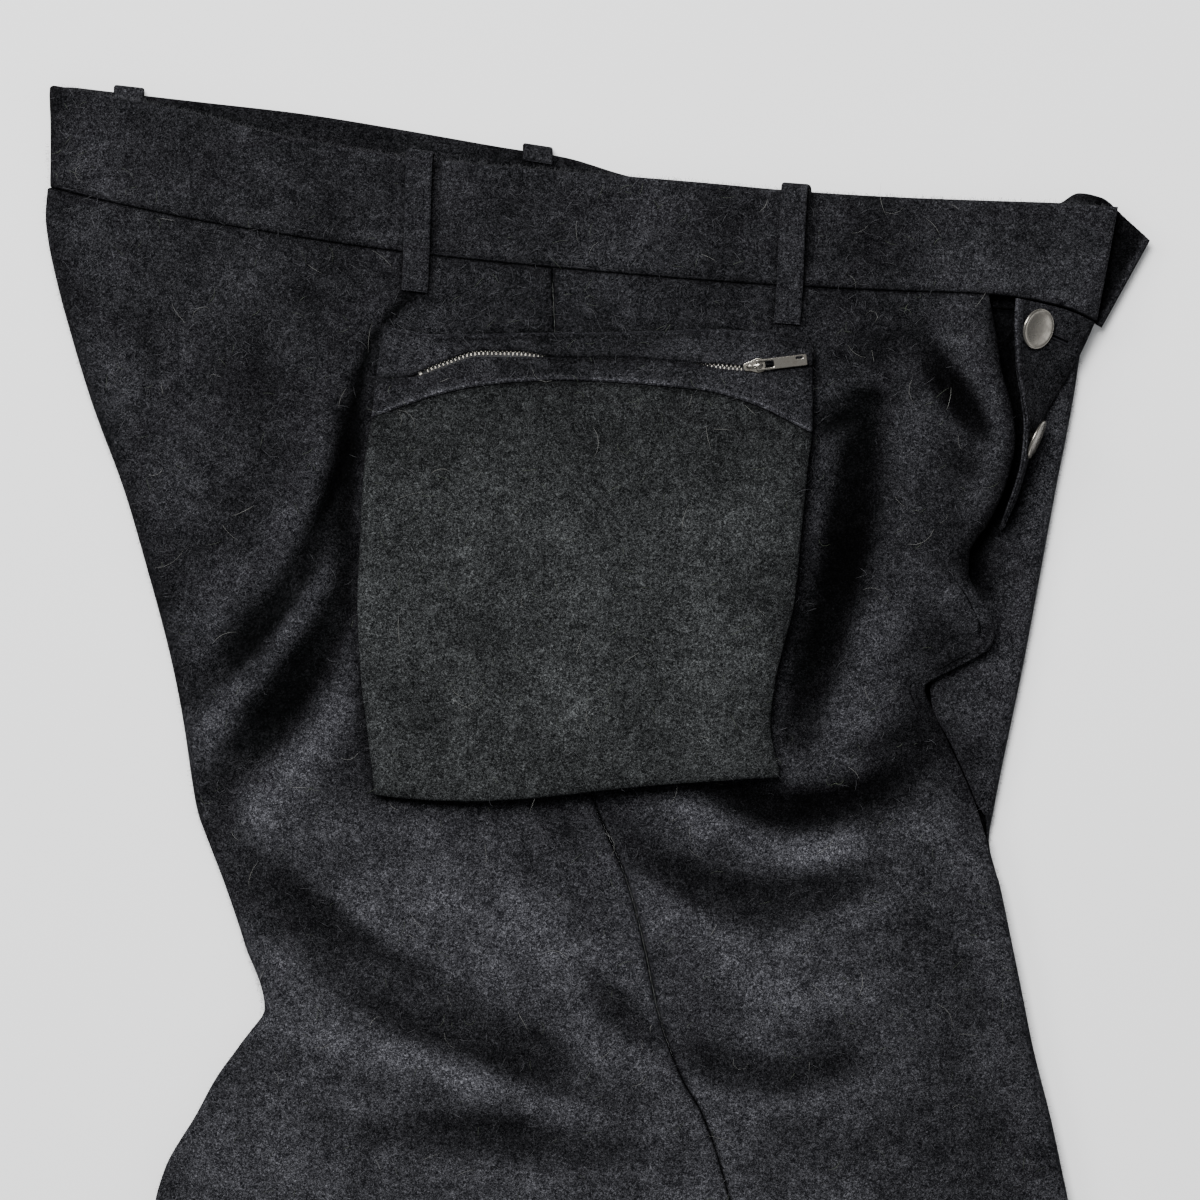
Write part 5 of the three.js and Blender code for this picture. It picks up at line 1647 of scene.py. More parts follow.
def button_frame(button):
    """The matrix of a button: towards the strip's base, across, and where it looks."""
    row = button["row"]
    look = Vector(button["look"]).normalized()
    to_base = Vector(strip_points(row, 1) - strip_points(row, 0))
    side = look.cross(to_base).normalized()
    return axes_at(Vector(strip_points(row, button["across"])), side.cross(look), side, look)


def hole_frame(button):
    """The matrix of a buttonhole: along its slit, across it, and out of the strip."""
    row, across = button["row"], button["across"]
    slit = Vector(strip_points(row, 1) - strip_points(row, 0)).normalized()
    down = Vector(strip_points(row + 0.5, across) - strip_points(row - 0.5, across))
    out = down.cross(slit).normalized()
    return axes_at(Vector(strip_points(row, across)), slit, out.cross(slit), out)


print("buttons at", [[round(v / MM) for v in button_frame(b).translation] for b in BUTTONS])

# %% Cut the buttonholes
EYE_RADIUS = 2.5
CUT_DEPTH = 5  # to either side of the strip's middle


def hole_cutter(button):
    """A solid that cuts a buttonhole: a round eye for the post and a slit beside it."""
    slit = button["slit"]
    outline = [(-EYE_RADIUS, 0)]
    for angle in np.radians(np.linspace(150, 20, 8)):
        outline.append((EYE_RADIUS * math.cos(angle), EYE_RADIUS * math.sin(angle)))
    outline += [(EYE_RADIUS + 0.3, 0.55), (slit - 0.3, 0.5), (slit, 0)]
    lower = [(x, -y) for x, y in outline[1:-1]][::-1]
    loop = np.array(outline + lower)
    count = len(loop)
    ends = [np.c_[loop, np.full(count, side * CUT_DEPTH)] for side in (-1, 1)]
    points = put(np.concatenate(ends) * MM, hole_frame(button))
    faces = [tuple(range(count)), tuple(range(2 * count - 1, count - 1, -1))]
    faces += [(i, i + count, (i + 1) % count + count, (i + 1) % count) for i in range(count)]
    mesh = bpy.data.meshes.new("buttonhole_cutter")
    mesh.from_pydata(points.tolist(), [], faces)
    return add_object("buttonhole_cutter", mesh)


strip_shares = with_rims(14, 20)[None, :]
strip_row = with_rims(64, 100)[:, None] * (len(FLY_STRIP["free_x"]) - 1)
strip_grid = strip_points(strip_row, strip_shares)
strip = make_cloth("fly_strip", strip_grid, CLOTH, -1, WOOL)
for button in BUTTONS:
    cutter = hole_cutter(button)
    apply_modifier(strip, "BOOLEAN", operation="DIFFERENCE", solver="EXACT", object=cutter)
    bpy.data.objects.remove(cutter)
print("fly strip", len(strip.data.polygons), "faces with its buttonholes")


# %% Tones of the strip
def strip_tones(points):
    """Painted highlight on the rolled free edge, a darker groove where stitches pull, painted
    shade at the base.
    """
    shares = np.broadcast_to(strip_shares, strip_grid.shape[:2]).ravel()
    away = np.linalg.norm(points[:, None] - strip_grid.reshape(-1, 3)[None], axis=2)
    share = shares[away.argmin(axis=1)]
    edge, groove = 0.2 * bell(share, 0.05), 0.16 * bell(share - 0.115, 0.035)
    return 0.27 + edge - groove - 0.12 * smooth(0.8, 1, share)


write_painted_light(strip, strip_tones(points_of(strip.data)))

# %% [markdown]
# ## Metal
# The buttons, the zip and its slider are plated in nickel with a satin finish. Plating
# is never even: fine scratches run over it and a dull film lies on it in patches. Both come
# from one group that makes a mask and a relief, which the material turns into colour,
# roughness and a bump.


# %% Nickel
def plating_group():
    """Fine scratches and a dull film on plated metal."""
    group, given, made = new_group(
        "plating_wear",
        {"Where": (VECTOR, None), "Size": (NUMBER, 1.0)},
        {"Dull": NUMBER, "Scratches": NUMBER},
    )
    scaled = group.nodes.new("ShaderNodeVectorMath")
    scaled.operation = "SCALE"
    group.links.new(given.outputs["Where"], scaled.inputs[0])
    group.links.new(given.outputs["Size"], scaled.inputs["Scale"])
    film = noise(group, scaled.outputs["Vector"], 260, 4, 0.6, 0.6)
    squeezed = add_node(group, "ShaderNodeMapping", {"Scale": (1, 14, 14)})
    group.links.new(scaled.outputs["Vector"], squeezed.inputs["Vector"])
    lines = noise(group, squeezed.outputs["Vector"], 420, 3, 0.7)
    group.links.new(stretch(group, film, 0.35, 0.7), made.inputs["Dull"])
    group.links.new(lines, made.inputs["Scratches"])
    return group


PLATING = plating_group()


def nickel_material(name, bright, dull, roughness, size=1.0):
    """Satin nickel; bright and dull are its two tints."""
    material, shader = plain_material(name, bright, roughness, 1.0)
    tree = material.node_tree
    wear = tree.nodes.new("ShaderNodeGroup")
    wear.node_tree = PLATING
    wear.inputs["Size"].default_value = size
    tree.links.new(own_place(tree), wear.inputs["Where"])
    tint = mix_colours(tree, wear.outputs["Dull"], (*bright, 1), (*dull, 1))
    tree.links.new(tint, shader.inputs["Base Color"])
    rough = stretch(tree, wear.outputs["Dull"], 0, 1, roughness * 0.8, roughness * 1.35)
    tree.links.new(rough, shader.inputs["Roughness"])
    add_bump(tree, shader, wear.outputs["Scratches"], strength=0.12, depth=0.05)
    return material


BUTTON_NICKEL = nickel_material("button_nickel", (0.24, 0.225, 0.2), (0.15, 0.14, 0.125), 0.3)
TEETH_NICKEL = nickel_material("teeth_nickel", (0.66, 0.63, 0.57), (0.3, 0.28, 0.25), 0.26, 3.0)
ZIP_NICKEL = nickel_material("zip_nickel", (0.32, 0.3, 0.265), (0.12, 0.11, 0.095), 0.2, 2.0)
print("nickel for the buttons, the teeth and the slider")

# %% [markdown]
# ## Buttons
# Each jeans-type button is a flat disc with a rolled rim on a post that goes through the
# buttonhole. It is turned on a lathe: a profile of radius and height goes round an axis.


# %% Buttons
def ring_points(radius, height, count):
    """Points round the axis at one radius and height."""
    angle = np.linspace(0, 2 * np.pi, count, endpoint=False)
    return np.stack([radius * np.cos(angle), radius * np.sin(angle), height + 0 * angle], 1)


def lathe(profile, count):
    """Points and faces of a form turned round Z, closed on the axis at both ends."""
    rings = [ring_points(r, h, count) for r, h in profile[1:-1]]
    points = np.concatenate([[(0, 0, profile[0][1])], *rings, [(0, 0, profile[-1][1])]])
    faces = []
    last = len(points) - 1
    for i in range(count):
        j = (i + 1) % count
        faces.append((0, 1 + j, 1 + i))
        for r in range(len(rings) - 1):
            a, b = 1 + r * count, 1 + (r + 1) * count
            faces.append((a + i, a + j, b + j, b + i))
        top = 1 + (len(rings) - 1) * count
        faces.append((top + i, top + j, last))
    return points * MM, faces


BUTTON_RADIUS, POST_RADIUS = 8.3, 1.8
for number, button in enumerate(BUTTONS, 1):
    stand, r = button["stand"], BUTTON_RADIUS
    profile = [
        (0, -stand - CLOTH),
        (POST_RADIUS - 0.2, -stand - CLOTH),
        (POST_RADIUS, -stand - CLOTH + 0.3),
        (POST_RADIUS, -1.2),
        (POST_RADIUS + 0.4, -0.75),
        (r - 1.2, -0.7),
        (r - 0.35, -0.5),
        (r - 0.08, -0.2),
        (r, 0.08),
        (r - 0.1, 0.4),
        (r - 0.35, 0.65),
        (r - 0.7, 0.74),
        (r - 1.0, 0.68),
        (r - 1.25, 0.62),
        (r - 2.2, 0.78),
        (r * 0.5, 1.1),
        (r * 0.25, 1.2),
        (0, 1.25),
    ]
    points, faces = lathe(profile, 72)
    seat = button_frame(button) @ Matrix.Translation((0, 0, stand * MM))
    name = f"fly_button_{number}"
    make_piece(name + "_metal", put(points, seat), faces, BUTTON_NICKEL, "nickel", replaces=[name])
    print(name, "of", 2 * BUTTON_RADIUS, "mm,", len(faces), "faces")

# %% [markdown]
# ## The zip
# A metal zip has a tooth every 1.7 mm on each tape. Closed, the two rows sit half a step
# apart and lock into a chain. Every tooth is the same small block with chamfered edges,
# set along the curve of the zip. The tape under them keeps its solid and gets a weave.


# %% Blocks along a line
def path_frames(x, drop, z):
    """Points, forward, sideways and up directions along a line."""
    points = place(x, drop, z)
    forward = np.gradient(points, axis=0)
    forward /= np.linalg.norm(forward, axis=1, keepdims=True)
    up = np.array([0, 0, 1.0]) - forward * forward[:, 2:3]
    up /= np.linalg.norm(up, axis=1, keepdims=True)
    return points, forward, np.cross(up, forward), up


def even_along(x, drop_at, z_at, pitch):
    """x of points an even pitch apart along a line that is given by its x."""
    fine = np.linspace(x[0], x[1], 1200)
    points = place(fine, drop_at(fine), z_at(fine)) / MM
    run = np.concatenate([[0], np.cumsum(np.linalg.norm(np.diff(points, axis=0), axis=1))])
    return np.interp(np.arange(0, run[-1], pitch), run, fine)


def chamfered_block(long, wide, high, cut):
    """A block with its eight corners and twelve edges cut, and its faces."""
    points = []
    for sx, sy, sz in itertools.product((-1, 1), repeat=3):
        points.append((sx * (long / 2 - cut), sy * (wide / 2 - cut), sz * high / 2))
        points.append((sx * long / 2, sy * (wide / 2 - cut), sz * (high / 2 - cut)))
        points.append((sx * (long / 2 - cut), sy * wide / 2, sz * (high / 2 - cut)))
    bm = bmesh.new()
    for p in points:
        bm.verts.new(p)
    bmesh.ops.convex_hull(bm, input=bm.verts)
    bm.verts.ensure_lookup_table()
    bm.verts.index_update()
    made = np.array([v.co for v in bm.verts])
    faces = [tuple(v.index for v in face.verts) for face in bm.faces]
    bm.free()
    return made, faces


def many(block, frames):
    """One mesh of many copies of a block, each at its own frame."""
    points, faces = block
    centres, forward, sideways, up = frames
    local = points * MM
    world = (
        centres[:, None]
        + local[None, :, :1] * forward[:, None]
        + local[None, :, 1:2] * sideways[:, None]
        + local[None, :, 2:] * up[:, None]
    )
    return world.reshape(-1, 3), repeated(faces, len(points), len(centres))


print("block of", len(chamfered_block(1, 1, 1, 0.2)[1]), "faces")

# %% Teeth and stop
TOOTH_PITCH = 1.7
TOOTH_OUT = 0.62  # from the zip's middle to the middle of a tooth
CHAIN_SINK = (1.3, 1.95)  # under the cloth's middle, where the lips are open and closed


def chain_z(x):
    """Height of the chain's middle."""
    return pocket_height(x, pocket_zip(x)) - lerp(*CHAIN_SINK, zip_closed(x))


def tooth_row(side, offset):
    """The frames of one row of teeth; the two rows are half a pitch apart."""
    x = even_along((ZIP["start"] + 2, ZIP["end"] - 3), pocket_zip, chain_z, TOOTH_PITCH)
    x = x + offset * TOOTH_PITCH / 2
    centres, forward, sideways, up = path_frames(x, pocket_zip(x), chain_z(x))
    return centres + sideways * side * TOOTH_OUT * MM, forward, sideways, up


tooth = chamfered_block(0.7, 1.5, 1.2, 0.2)
stop_x = np.array([ZIP["start"], ZIP["start"] + 0.1])
stop_frames = path_frames(stop_x, pocket_zip(stop_x), chain_z(stop_x))
stop = many(chamfered_block(1.5, 2.4, 1.2, 0.25), [a[:1] for a in stop_frames])
rows = [many(tooth, tooth_row(side, offset)) for side, offset in ((1, 0), (-1, 1))]
points, faces = joined([*rows, stop])
teeth = make_piece("zip_teeth", points, faces, TEETH_NICKEL, "nickel", replaces=["zip_chain"])
teeth.data.polygons.foreach_set("use_smooth", np.zeros(len(faces), bool))
print(len(faces), "faces of zip teeth")


# %% Tape
def tape_material():
    """Dark twill tape: fine ribs across the zip."""
    material, shader = plain_material("zip_tape_twill", (0.012, 0.012, 0.013), 0.8)
    tree = material.node_tree
    ribs = add_node(tree, "ShaderNodeTexWave", {"Scale": 520.0, "Distortion": 1.5, "Detail": 1.0})
    tree.links.new(own_place(tree), ribs.inputs["Vector"])
    rib = ribs.outputs["Fac"]
    tint = mix_colours(tree, rib, (0.006, 0.006, 0.007, 1), (0.02, 0.02, 0.021, 1))
    tree.links.new(tint, shader.inputs["Base Color"])
    add_bump(tree, shader, rib, strength=0.5, depth=0.15)
    return material


def finish_node(node, material):
    """A CAD node whose shape is right gets its finish on its object's slots."""
    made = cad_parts[node]
    for place_of in made.material_slots:
        place_of.link = "OBJECT"
        place_of.material = material


finish_node("zip_tape", tape_material())
print("the tape keeps its solid, with a weave")

# %% [markdown]
# ## Slider and pull tab
# The slider is a small cast plate with a bridge. The pull tab hangs on the bridge and is
# the one hard piece that swings: it rides on a body of its own. Both are cut from plate:
# a flat outline with its holes is filled, thickened and given a soft edge.


# %% Plates from outlines
def rounded(corners, radius, steps=5):
    """An outline with its corners rounded."""
    out = []
    count = len(corners)
    for i in range(count):
        before, at, after = (np.array(corners[(i + k) % count], float) for k in (-1, 0, 1))
        a, b = before - at, after - at
        cut = min(radius, 0.45 * np.linalg.norm(a), 0.45 * np.linalg.norm(b))
        start, end = at + a / np.linalg.norm(a) * cut, at + b / np.linalg.norm(b) * cut
        for t in np.linspace(0, 1, steps):
            out.append((1 - t) ** 2 * start + 2 * t * (1 - t) * at + t * t * end)
    return np.array(out)


def plate(name, outlines, thick, edge):
    """Points and faces of a plate with soft edges, cut to outlines with their holes."""
    data = bpy.data.curves.new(name, "CURVE")
    data.dimensions = "2D"
    data.fill_mode = "BOTH"
    data.extrude = (thick / 2 - edge) * MM
    data.bevel_depth = edge * MM
    data.bevel_resolution = 2
    data.offset = -edge * MM
    for outline in outlines:
        spline = data.splines.new("POLY")
        spline.points.add(len(outline) - 1)
        spline.use_cyclic_u = True
        for point, (x, y) in zip(spline.points, outline * MM):
            point.co = (x, y, 0, 1)
    carrier = add_object(name, data)
    graph = bpy.context.evaluated_depsgraph_get()
    graph.update()
    mesh = bpy.data.meshes.new_from_object(carrier.evaluated_get(graph))
    points, faces = points_of(mesh), [tuple(p.vertices) for p in mesh.polygons]
    bpy.data.objects.remove(carrier)
    bpy.data.meshes.remove(mesh)
    bpy.data.curves.remove(data)
    return points, faces


# %% Slider
SLIDER = {"x": 281.6, "drop": 113.4, "turn": 7, "long": 9, "wide": 6.4, "high": 1.1}
BAIL = {"half": 3.2, "wide": 1.2, "bar": 0.8, "high": 2.8}  # the bridge
slider_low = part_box("zip_slider")[0]
slider_place = (*place(SLIDER["x"], SLIDER["drop"], 0)[:2], slider_low.z)
slider_turn = Matrix.Rotation(math.radians(SLIDER["turn"]), 4, "Z")
slider_frame = Matrix.Translation(slider_place) @ slider_turn


def slider_outline():
    """The slider from above: narrow where the chain leaves, wide at its nose."""
    nose, side = SLIDER["long"] / 2, SLIDER["wide"] / 2
    shares = ((-1, 0.5), (-0.3, 0.62), (0.25, 0.98), (0.85, 0.8), (1, 0.3))
    upper = [(nose * along, side * across) for along, across in shares]
    return rounded(upper + [(x, -y) for x, y in upper[::-1]], 1.4)


def arch(half, wide, bar, high):
    """The bridge: a flat bar bent up, over and down."""
    line = smooth_line(
        [(-half + 0.3, 0), (-half + 0.35, high * 0.62), (-half + 1.1, high - 0.25)]
        + [(0, high - bar / 2), (half - 1.1, high - 0.25), (half - 0.35, high * 0.62)]
        + [(half - 0.3, 0)],
        28,
    )
    across = (with_rims(3, wide, (0, 0.1, 0.25)) - 0.5)[None, :] * wide
    grid = np.stack(np.broadcast_arrays(line[:, :1], across, line[:, 1:]), axis=2) * MM
    return shell(grid, bar, 1)


def raised(part, height):
    """Points and faces of a form, lifted by a height in millimetres."""
    return part[0] + np.array([0, 0, height * MM]), part[1]


base = plate("slider_plate", [slider_outline()], SLIDER["high"], 0.28)
bridge = arch(**BAIL)
points, faces = joined([raised(base, SLIDER["high"] / 2), raised(bridge, SLIDER["high"] - 0.15)])
points = put(points, slider_frame)
make_piece("zip_slider_metal", points, faces, ZIP_NICKEL, "nickel", replaces=["zip_slider"])
print("slider at", [round(v / MM, 1) for v in slider_frame.translation])

# %% Pull tab
PULL = {"long": 20.5, "wide": 4.6, "thick": 1.2, "pin": 1, "pin_x": 1.2, "tilt": 4}
TAB_BACK = 0.5  # how far the tab reaches back past its pin
pin_height = SLIDER["high"] + (BAIL["high"] - BAIL["bar"]) / 2
tab_frame = (
    slider_frame
    @ Matrix.Translation((PULL["pin_x"] * MM, 0, pin_height * MM))
    @ Matrix.Rotation(math.radians(PULL["tilt"]), 4, "Y")
)
tab_end = PULL["long"] - PULL["pin"] / 2
half_wide = PULL["wide"] / 2
lower = [(-TAB_BACK, -half_wide), (tab_end, -half_wide)]
tab_outline = rounded(lower + [(x, -y) for x, y in lower[::-1]], 0.7)
eye = rounded([(0.5, 1.3), (6.5, 1.3), (6.5, -1.3), (0.5, -1.3)], 0.5)
end_slot = rounded([(15.6, 1.5), (18.4, 1.5), (18.4, 0.75), (15.6, 0.75)], 0.3)
points, faces = plate("pull_plate", [tab_outline, eye, end_slot], PULL["thick"], 0.3)
points = put(points, tab_frame)
pull = {"body": "pull_tab", "replaces": ["zip_pull"]}
make_piece("zip_pull_metal", points, faces, ZIP_NICKEL, "nickel", **pull)
print("pull tab of", PULL["long"], "mm, tilted by", PULL["tilt"], "degrees")

# %% [markdown]
# ## Sewing
# Stitches are what makes a seam look sewn. Each one is a short thread that comes out of
# the cloth, lies over it and goes in again. A row of them follows a line on the cloth at
# an even pitch. The thread is as dark as the cloth, so the rows only just show.

# %% Thread and stitches
STITCH_SIDES = 5
# rings of a stitch: the share of its length, the share of its radius and its lift in radii
STITCH_RINGS = ((0.0, 0.5, -0.3), (0.22, 1.0, 0.1), (0.78, 1.0, 0.1), (1.0, 0.5, -0.3))


def thread_material():
    """Dark polyester thread with a fine twist."""
    material, shader = plain_material("dark_thread", (0.014, 0.014, 0.017), 0.6)
    shader.inputs["Specular IOR Level"].default_value = 0.08
    tree = material.node_tree
    twist = noise(tree, own_place(tree), 2600, 2, 0.6)
    tint = mix_colours(tree, twist, (0.003, 0.003, 0.004, 1), (0.014, 0.014, 0.017, 1))
    tree.links.new(tint, shader.inputs["Base Color"])
    return material


THREAD = thread_material()


def thread_tubes(starts, ends, ups, radius):
    """One mesh of short threads from their starts to their ends; radius in millimetres."""
    forward = ends - starts
    forward /= np.maximum(np.linalg.norm(forward, axis=1, keepdims=True), 1e-9)
    sideways = np.cross(ups, forward)
    sideways /= np.maximum(np.linalg.norm(sideways, axis=1, keepdims=True), 1e-9)
    up = np.cross(forward, sideways)
    angle = np.linspace(0, 2 * np.pi, STITCH_SIDES, endpoint=False)
    rings = []
    for t, share, lift in STITCH_RINGS:
        centre = lerp(starts, ends, t) + up * lift * radius * MM
        for a in angle:
            rings.append(centre + (sideways * np.cos(a) + up * np.sin(a)) * share * radius * MM)
    points = np.stack(rings, axis=1)
    one = tube_faces(len(STITCH_RINGS), STITCH_SIDES)
    return points.reshape(-1, 3), repeated(one, len(rings), len(starts))


def stitch_row(line, ups, pitch=2.6, length=1.9, radius=0.22):
    """Stitches along a line of points, with the way that is up at each."""
    run = np.concatenate([[0], np.cumsum(np.linalg.norm(np.diff(line, axis=0), axis=1))])
    start = np.arange(0.3 * pitch * MM, run[-1] - length * MM, pitch * MM)

    def at(distance, values):
        return np.stack([np.interp(distance, run, values[:, k]) for k in range(3)], axis=1)

    return thread_tubes(at(start, line), at(start + length * MM, line), at(start, ups), radius)


print("a stitch has", len(tube_faces(len(STITCH_RINGS), STITCH_SIDES)), "faces")


# %% Lines to sew along
def on_grid(name, row, column, lift, outward, count=160):
    """A line on a shell's outer face, by shares of its grid's rows and columns."""
    grid = GRIDS[name]
    normal = grid_normals(grid) * outward
    height, width = grid.shape[:2]
    t = np.linspace(0, 1, count)
    r = np.clip(lerp(row[0], row[1], t), 0, 1) * (height - 1)
    c = np.clip(lerp(column[0], column[1], t), 0, 1) * (width - 1)
    i, j = np.minimum(r.astype(int), height - 2), np.minimum(c.astype(int), width - 2)
    s, u = (r - i)[:, None], (c - j)[:, None]

    def read(values):
        upper = lerp(values[i, j], values[i, j + 1], u)
        return lerp(upper, lerp(values[i + 1, j], values[i + 1, j + 1], u), s)

    up = read(normal)
    return read(grid) + up * lift * MM, up


def over_cloth(x, drop, height, lift):
    """A line on cloth that faces up, given by x, drop and the height of its middle."""
    line = place(x, drop, height + lift)
    return line, np.tile(UP, (len(line), 1))


UP = np.array([0, 0, 1.0])
HEM_DROP = 1054
ON_CLOTH, ON_BAND, ON_STRAP = CLOTH / 2 + 0.05, BAND / 2 + 0.05, STRAP / 2 + 0.05
ON_POCKET = POCKET_WALL / 2 + 0.04
seam_x = np.linspace(2, 416, 500)
hem_x = np.linspace(132, 364, 200)
loop_rows = []
for loop in NEAR_LOOPS:
    for row in (0.965, 0.985):
        loop_rows.append(on_grid(loop["name"], (row, row), (0.14, 0.86), ON_STRAP, -1, 30))
SEWING = {
    "waistband_stitches": [over_cloth(seam_x, near_seam(seam_x) - 0.9, near_seam_z(seam_x), 1.15)],
    "strip_stitches": [
        on_grid("fly_strip", (0.05, 0.97), (0.19, 0.24), ON_CLOTH + 0.07, -1),
        on_grid("fly_strip", (0.06, 0.06), (0.24, 0.97), ON_CLOTH, -1, 60),
    ],
    "far_band_end_stitches": [
        on_grid("waistband_far", (0.1, 0.9), (0.975, 0.975), ON_BAND, -1, 60),
        on_grid("waistband_far", (0.1, 0.1), (0.8, 0.975), ON_BAND, -1, 60),
    ],
    "loop_stitches": loop_rows,
    "pocket_stitches": [
        on_grid("pocket_band_lower", (0.82, 0.82), (0.05, 0.95), ON_POCKET, -1, 200),
        on_grid("pocket_band_upper", (0.2, 0.2), (0.03, 0.97), ON_POCKET, -1, 200),
        on_grid("pocket_band_upper", (0.2, 0.9), (0.07, 0.07), ON_POCKET, -1, 20),
        on_grid("pocket_band_lower", (0.1, 0.85), (0.07, 0.07), ON_POCKET, -1, 30),
    ],
    "hem_stitches": [
        over_cloth(hem_x, HEM_DROP + 0 * hem_x, near_height(hem_x, HEM_DROP), ON_CLOTH)
    ],
}
for name, rows in SEWING.items():
    points, faces = joined([stitch_row(line, ups) for line, ups in rows])
    make_piece(name, points, faces, THREAD, "wool")
    print(name, len(faces) // (len(STITCH_RINGS) * STITCH_SIDES - 3), "stitches")


# %% Buttonhole stitches
HOLE_PITCH = 0.42


def buttonhole_edge(button):
    """Close stitches along both sides of the slit of a buttonhole, and across its end."""
    seat, end, z = hole_frame(button), button["slit"], CLOTH / 2 + 0.1
    starts, ends = [], []
    for side in (-1, 1):
        for x in np.arange(EYE_RADIUS, end, HOLE_PITCH):
            starts.append((x, side * 0.45, z))
            ends.append((x + 0.1, side * 1.3, z))
    for y in np.linspace(-1.2, 1.2, 7):
        starts.append((end - 0.1, y * 0.4, z))
        ends.append((end + 0.9, y, z))
    ups = np.tile(np.array(seat.col[2][:3]), (len(starts), 1))
    starts, ends = np.array(starts) * MM, np.array(ends) * MM
    return thread_tubes(put(starts, seat), put(ends, seat), ups, 0.2)


points, faces = joined([buttonhole_edge(button) for button in BUTTONS])
make_piece("buttonhole_stitches", points, faces, THREAD, "wool")
print("buttonholes sewn:", len(BUTTONS))

# %% [markdown]
# ## Stray fibres
# Brushed wool is never clean: its own long fibres stand off the nap, and pale lint and
# hairs cling to it, lying every way. Each is a thin curved thread on the surface below
# it, and fewer lie in the hollows. The nap's own fibres are short, stand up and out, and
# blur the outline of the cloth.

# %% Fibres as meshes
FIBRE_SIDES = 3


def fibre_mesh(starts, ways, lengths, bends, lifts, radius, segments=4):
    """Many thin curved fibres as one mesh. Ways and bends are angles on the cloth."""
    count = len(starts)
    t = np.linspace(0, 1, segments + 1)
    angle = ways[:, None] + bends[:, None] * (t - 0.5)[None, :]
    step = lengths[:, None] / segments
    x = np.cumsum(np.cos(angle) * step, axis=1) - np.cos(angle[:, :1]) * step
    y = np.cumsum(np.sin(angle) * step, axis=1) - np.sin(angle[:, :1]) * step
    z = lifts[:, None] * np.sin(np.pi * t)[None, :]
    middle = starts[:, None, :] + np.stack([x, y, z], axis=2)
    out = np.stack([-np.sin(angle), np.cos(angle), 0 * angle], axis=2)
    taper = (0.35 + 0.65 * np.sin(np.pi * (0.15 + 0.7 * t)))[None, :, None]
    rings = []
    for a in np.arange(FIBRE_SIDES) * 2 * np.pi / FIBRE_SIDES:
        rings.append(middle + (out * np.cos(a) + UP * np.sin(a)) * radius * taper)
    points = np.stack(rings, axis=2).reshape(count, -1, 3) * MM
    one = tube_faces(segments + 1, FIBRE_SIDES)
    return points.reshape(-1, 3), repeated(one, (segments + 1) * FIBRE_SIDES, count)


def scatter(count, random):
    """Random places on the near side, inside its outline and closer near the waist."""
    x = random.uniform(-10, 430, count * 2)
    drop = lerp(4, LENGTH - 4, random.uniform(0, 1, count * 2) ** 1.4)
    left = seat_edge(drop) + 3
    right = np.where(drop < FRONT_NOTCH, fly_edge(drop), fly_silhouette(drop)) - 3
    good = (x > left) & (x < right) & (drop > near_top(x) + 2)
    return x[good][:count], drop[good][:count]


def fibre_material(name, colour):
    """A fibre's colour, with darker stretches."""
    material, shader = plain_material(name, colour, 0.55)
    tree = material.node_tree
    share = stretch(tree, noise(tree, own_place(tree), 90, 2, 0.6), 0.3, 0.7)
    dark = tuple(0.45 * c for c in colour)
    tint = mix_colours(tree, share, (*dark, 1), (*colour, 1))
    tree.links.new(tint, shader.inputs["Base Color"])
    return material


print("a fibre has", 2 * FIBRE_SIDES * 4 + 2, "triangles")

# %% Lay the fibres on the cloth
STRAY_LIFT, LIE_OVER = 0.8, 0.12  # how far a stray may arch up, and its clearance
NAP_RADIUS = 0.035
STRAY_GREY, HAIR_PALE = (0.085, 0.085, 0.095), (0.3, 0.3, 0.28)
NAP_GREY, STRAY_GREEN = (0.035, 0.035, 0.04), (0.1, 0.12, 0.08)


def top_height(x, drop):
    """Height of the surface that shows at each point of the near side."""
    return read_relief(RELIEF, x, drop) + CLOTH / 2


def lay_fibres(name, count, seed, length, radius, bend, colour):
    """Fibres that lie on the near side, fewer of them in its hollows, as one piece."""
    random = np.random.default_rng(seed)
    x, drop = scatter(count, random)
    light = np.maximum(on_body(x, drop), 0.5 * under_pocket(x, drop))
    kept = random.uniform(0.04, 0.24, len(x)) < light
    x, drop = x[kept], drop[kept]
    number = len(x)
    height = top_height(x, drop) + LIE_OVER
    starts = np.stack([x - CENTRE_X, LENGTH / 2 - drop, height], axis=1)
    points, faces = fibre_mesh(
        starts,
        random.uniform(0, 2 * np.pi, number),
        random.uniform(*length, number),
        random.normal(0, bend, number),
        random.uniform(0, STRAY_LIFT, number),
        radius,
    )
    make_piece(name, points, faces, fibre_material(name + "_fibre", colour), "wool")
    print(name, number, "fibres")


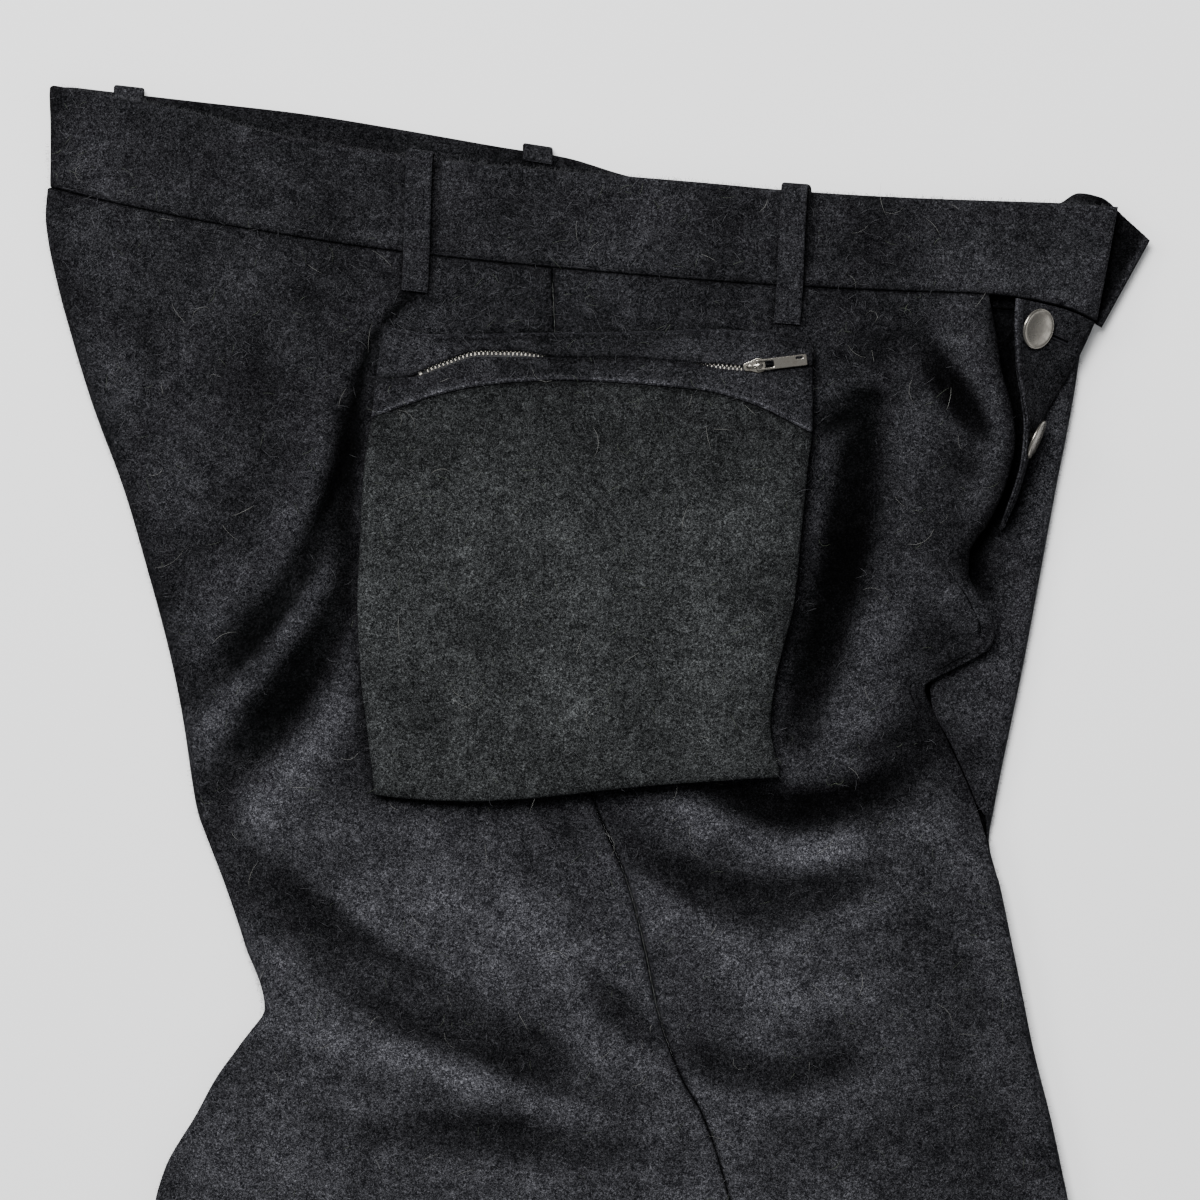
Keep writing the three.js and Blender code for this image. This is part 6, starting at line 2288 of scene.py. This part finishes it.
def nap_at_edges(count, seed):
    """Short nap fibres that stand out over the outline of the near side."""
    random = np.random.default_rng(seed)
    drop = random.uniform(100, LENGTH - 4, count)
    seat = random.uniform(0, 1, count) < 0.5
    drop = np.where(seat, drop * 1.08 - 84, drop)
    edge = np.where(seat, seat_edge(drop) + 0.5, fly_silhouette(drop) - 0.6)
    height = np.where(drop > 380, 5, 6.5) + random.uniform(-2, 2, count)
    out = np.where(seat, np.pi, 0) + random.normal(0, 0.7, count)
    top_x = random.uniform(2, 424, count // 3)
    top = np.stack([top_x, near_top(top_x) + 0.5, near_top_z(top_x) + 0.8], axis=1)
    top_way = np.pi / 2 + random.normal(0, 0.7, len(top_x))
    sides = np.stack([edge, drop, height], axis=1)
    starts = np.concatenate([sides, top])
    starts = np.stack([starts[:, 0] - CENTRE_X, LENGTH / 2 - starts[:, 1], starts[:, 2]], axis=1)
    number = len(starts)
    points, faces = fibre_mesh(
        starts,
        np.concatenate([out, top_way]),
        random.uniform(0.8, 2.4, number),
        random.normal(0, 1.2, number),
        random.uniform(-0.2, 0.4, number),
        NAP_RADIUS,
        segments=3,
    )
    make_piece("edge_nap", points, faces, fibre_material("nap_fibre", NAP_GREY), "wool")
    print(number, "fibres at the edges")


lay_fibres("grey_strays", 6500, 5, length=(2, 6), radius=0.05, bend=1.0, colour=STRAY_GREY)
lay_fibres("pale_hairs", 230, 9, length=(4, 14), radius=0.045, bend=1.1, colour=HAIR_PALE)
nap_at_edges(5000, 17)
lay_fibres("green_strays", 700, 13, length=(2.5, 7), radius=0.045, bend=1.2, colour=STRAY_GREEN)

# %% [markdown]
# ## What each sheet was cut to
# Every piece of cloth is listed with the rectangle that it was cut from, its width and
# its length down the leg, and with the area of its cut. A tube of cloth is measured all
# round. What lies under it, and the sewing that goes with it, are named too.

# %% Sheets
SHEETS = (
    ("near_back", 430, 1040, 0.3006, "far_back", ["hem_stitches"]),
    ("near_front", 326, 1010, 0.2588, "far_front", []),
    ("far_back", 428, 1036, 0.2842, "floor", []),
    ("far_front", 325, 1010, 0.2683, "floor", []),
    ("waistband_near", 458, 40.5, 0.0179, "waistband_far", ["waistband_stitches"]),
    ("waistband_far", 430, 41, 0.01705, "floor", ["far_band_end_stitches"]),
    ("pocket_front", 182, 168, 0.0275, "pocket_gusset", []),
    ("pocket_band_lower", 182, 27, 0.0021, "zip_tape", []),
    ("pocket_band_upper", 178, 21, 0.002, "zip_tape", ["pocket_stitches"]),
    ("pocket_gusset", 446, 10, 0.0019, "near_back", []),
    ("fly_strip", 68, 97, 0.0037, "far_front", ["strip_stitches", "buttonhole_stitches"]),
    ("belt_loop_near_back", 10.5, 70, 0.00073, "waistband_near", ["loop_stitches"]),
    ("belt_loop_near_front", 10.5, 70, 0.00073, "waistband_near", []),
    ("belt_loop_centre_back", 12, 50, 0.0006, "floor", []),
    ("belt_loop_far_back", 12, 50, 0.0006, "floor", []),
    ("belt_loop_far_front", 10.5, 50, 0.00052, "floor", []),
)
for name, width, length, area, below, sewing in SHEETS:
    print(name, "cut", width, "x", length, "mm; its grid holds", round(mid_area(GRIDS[name]), 5))
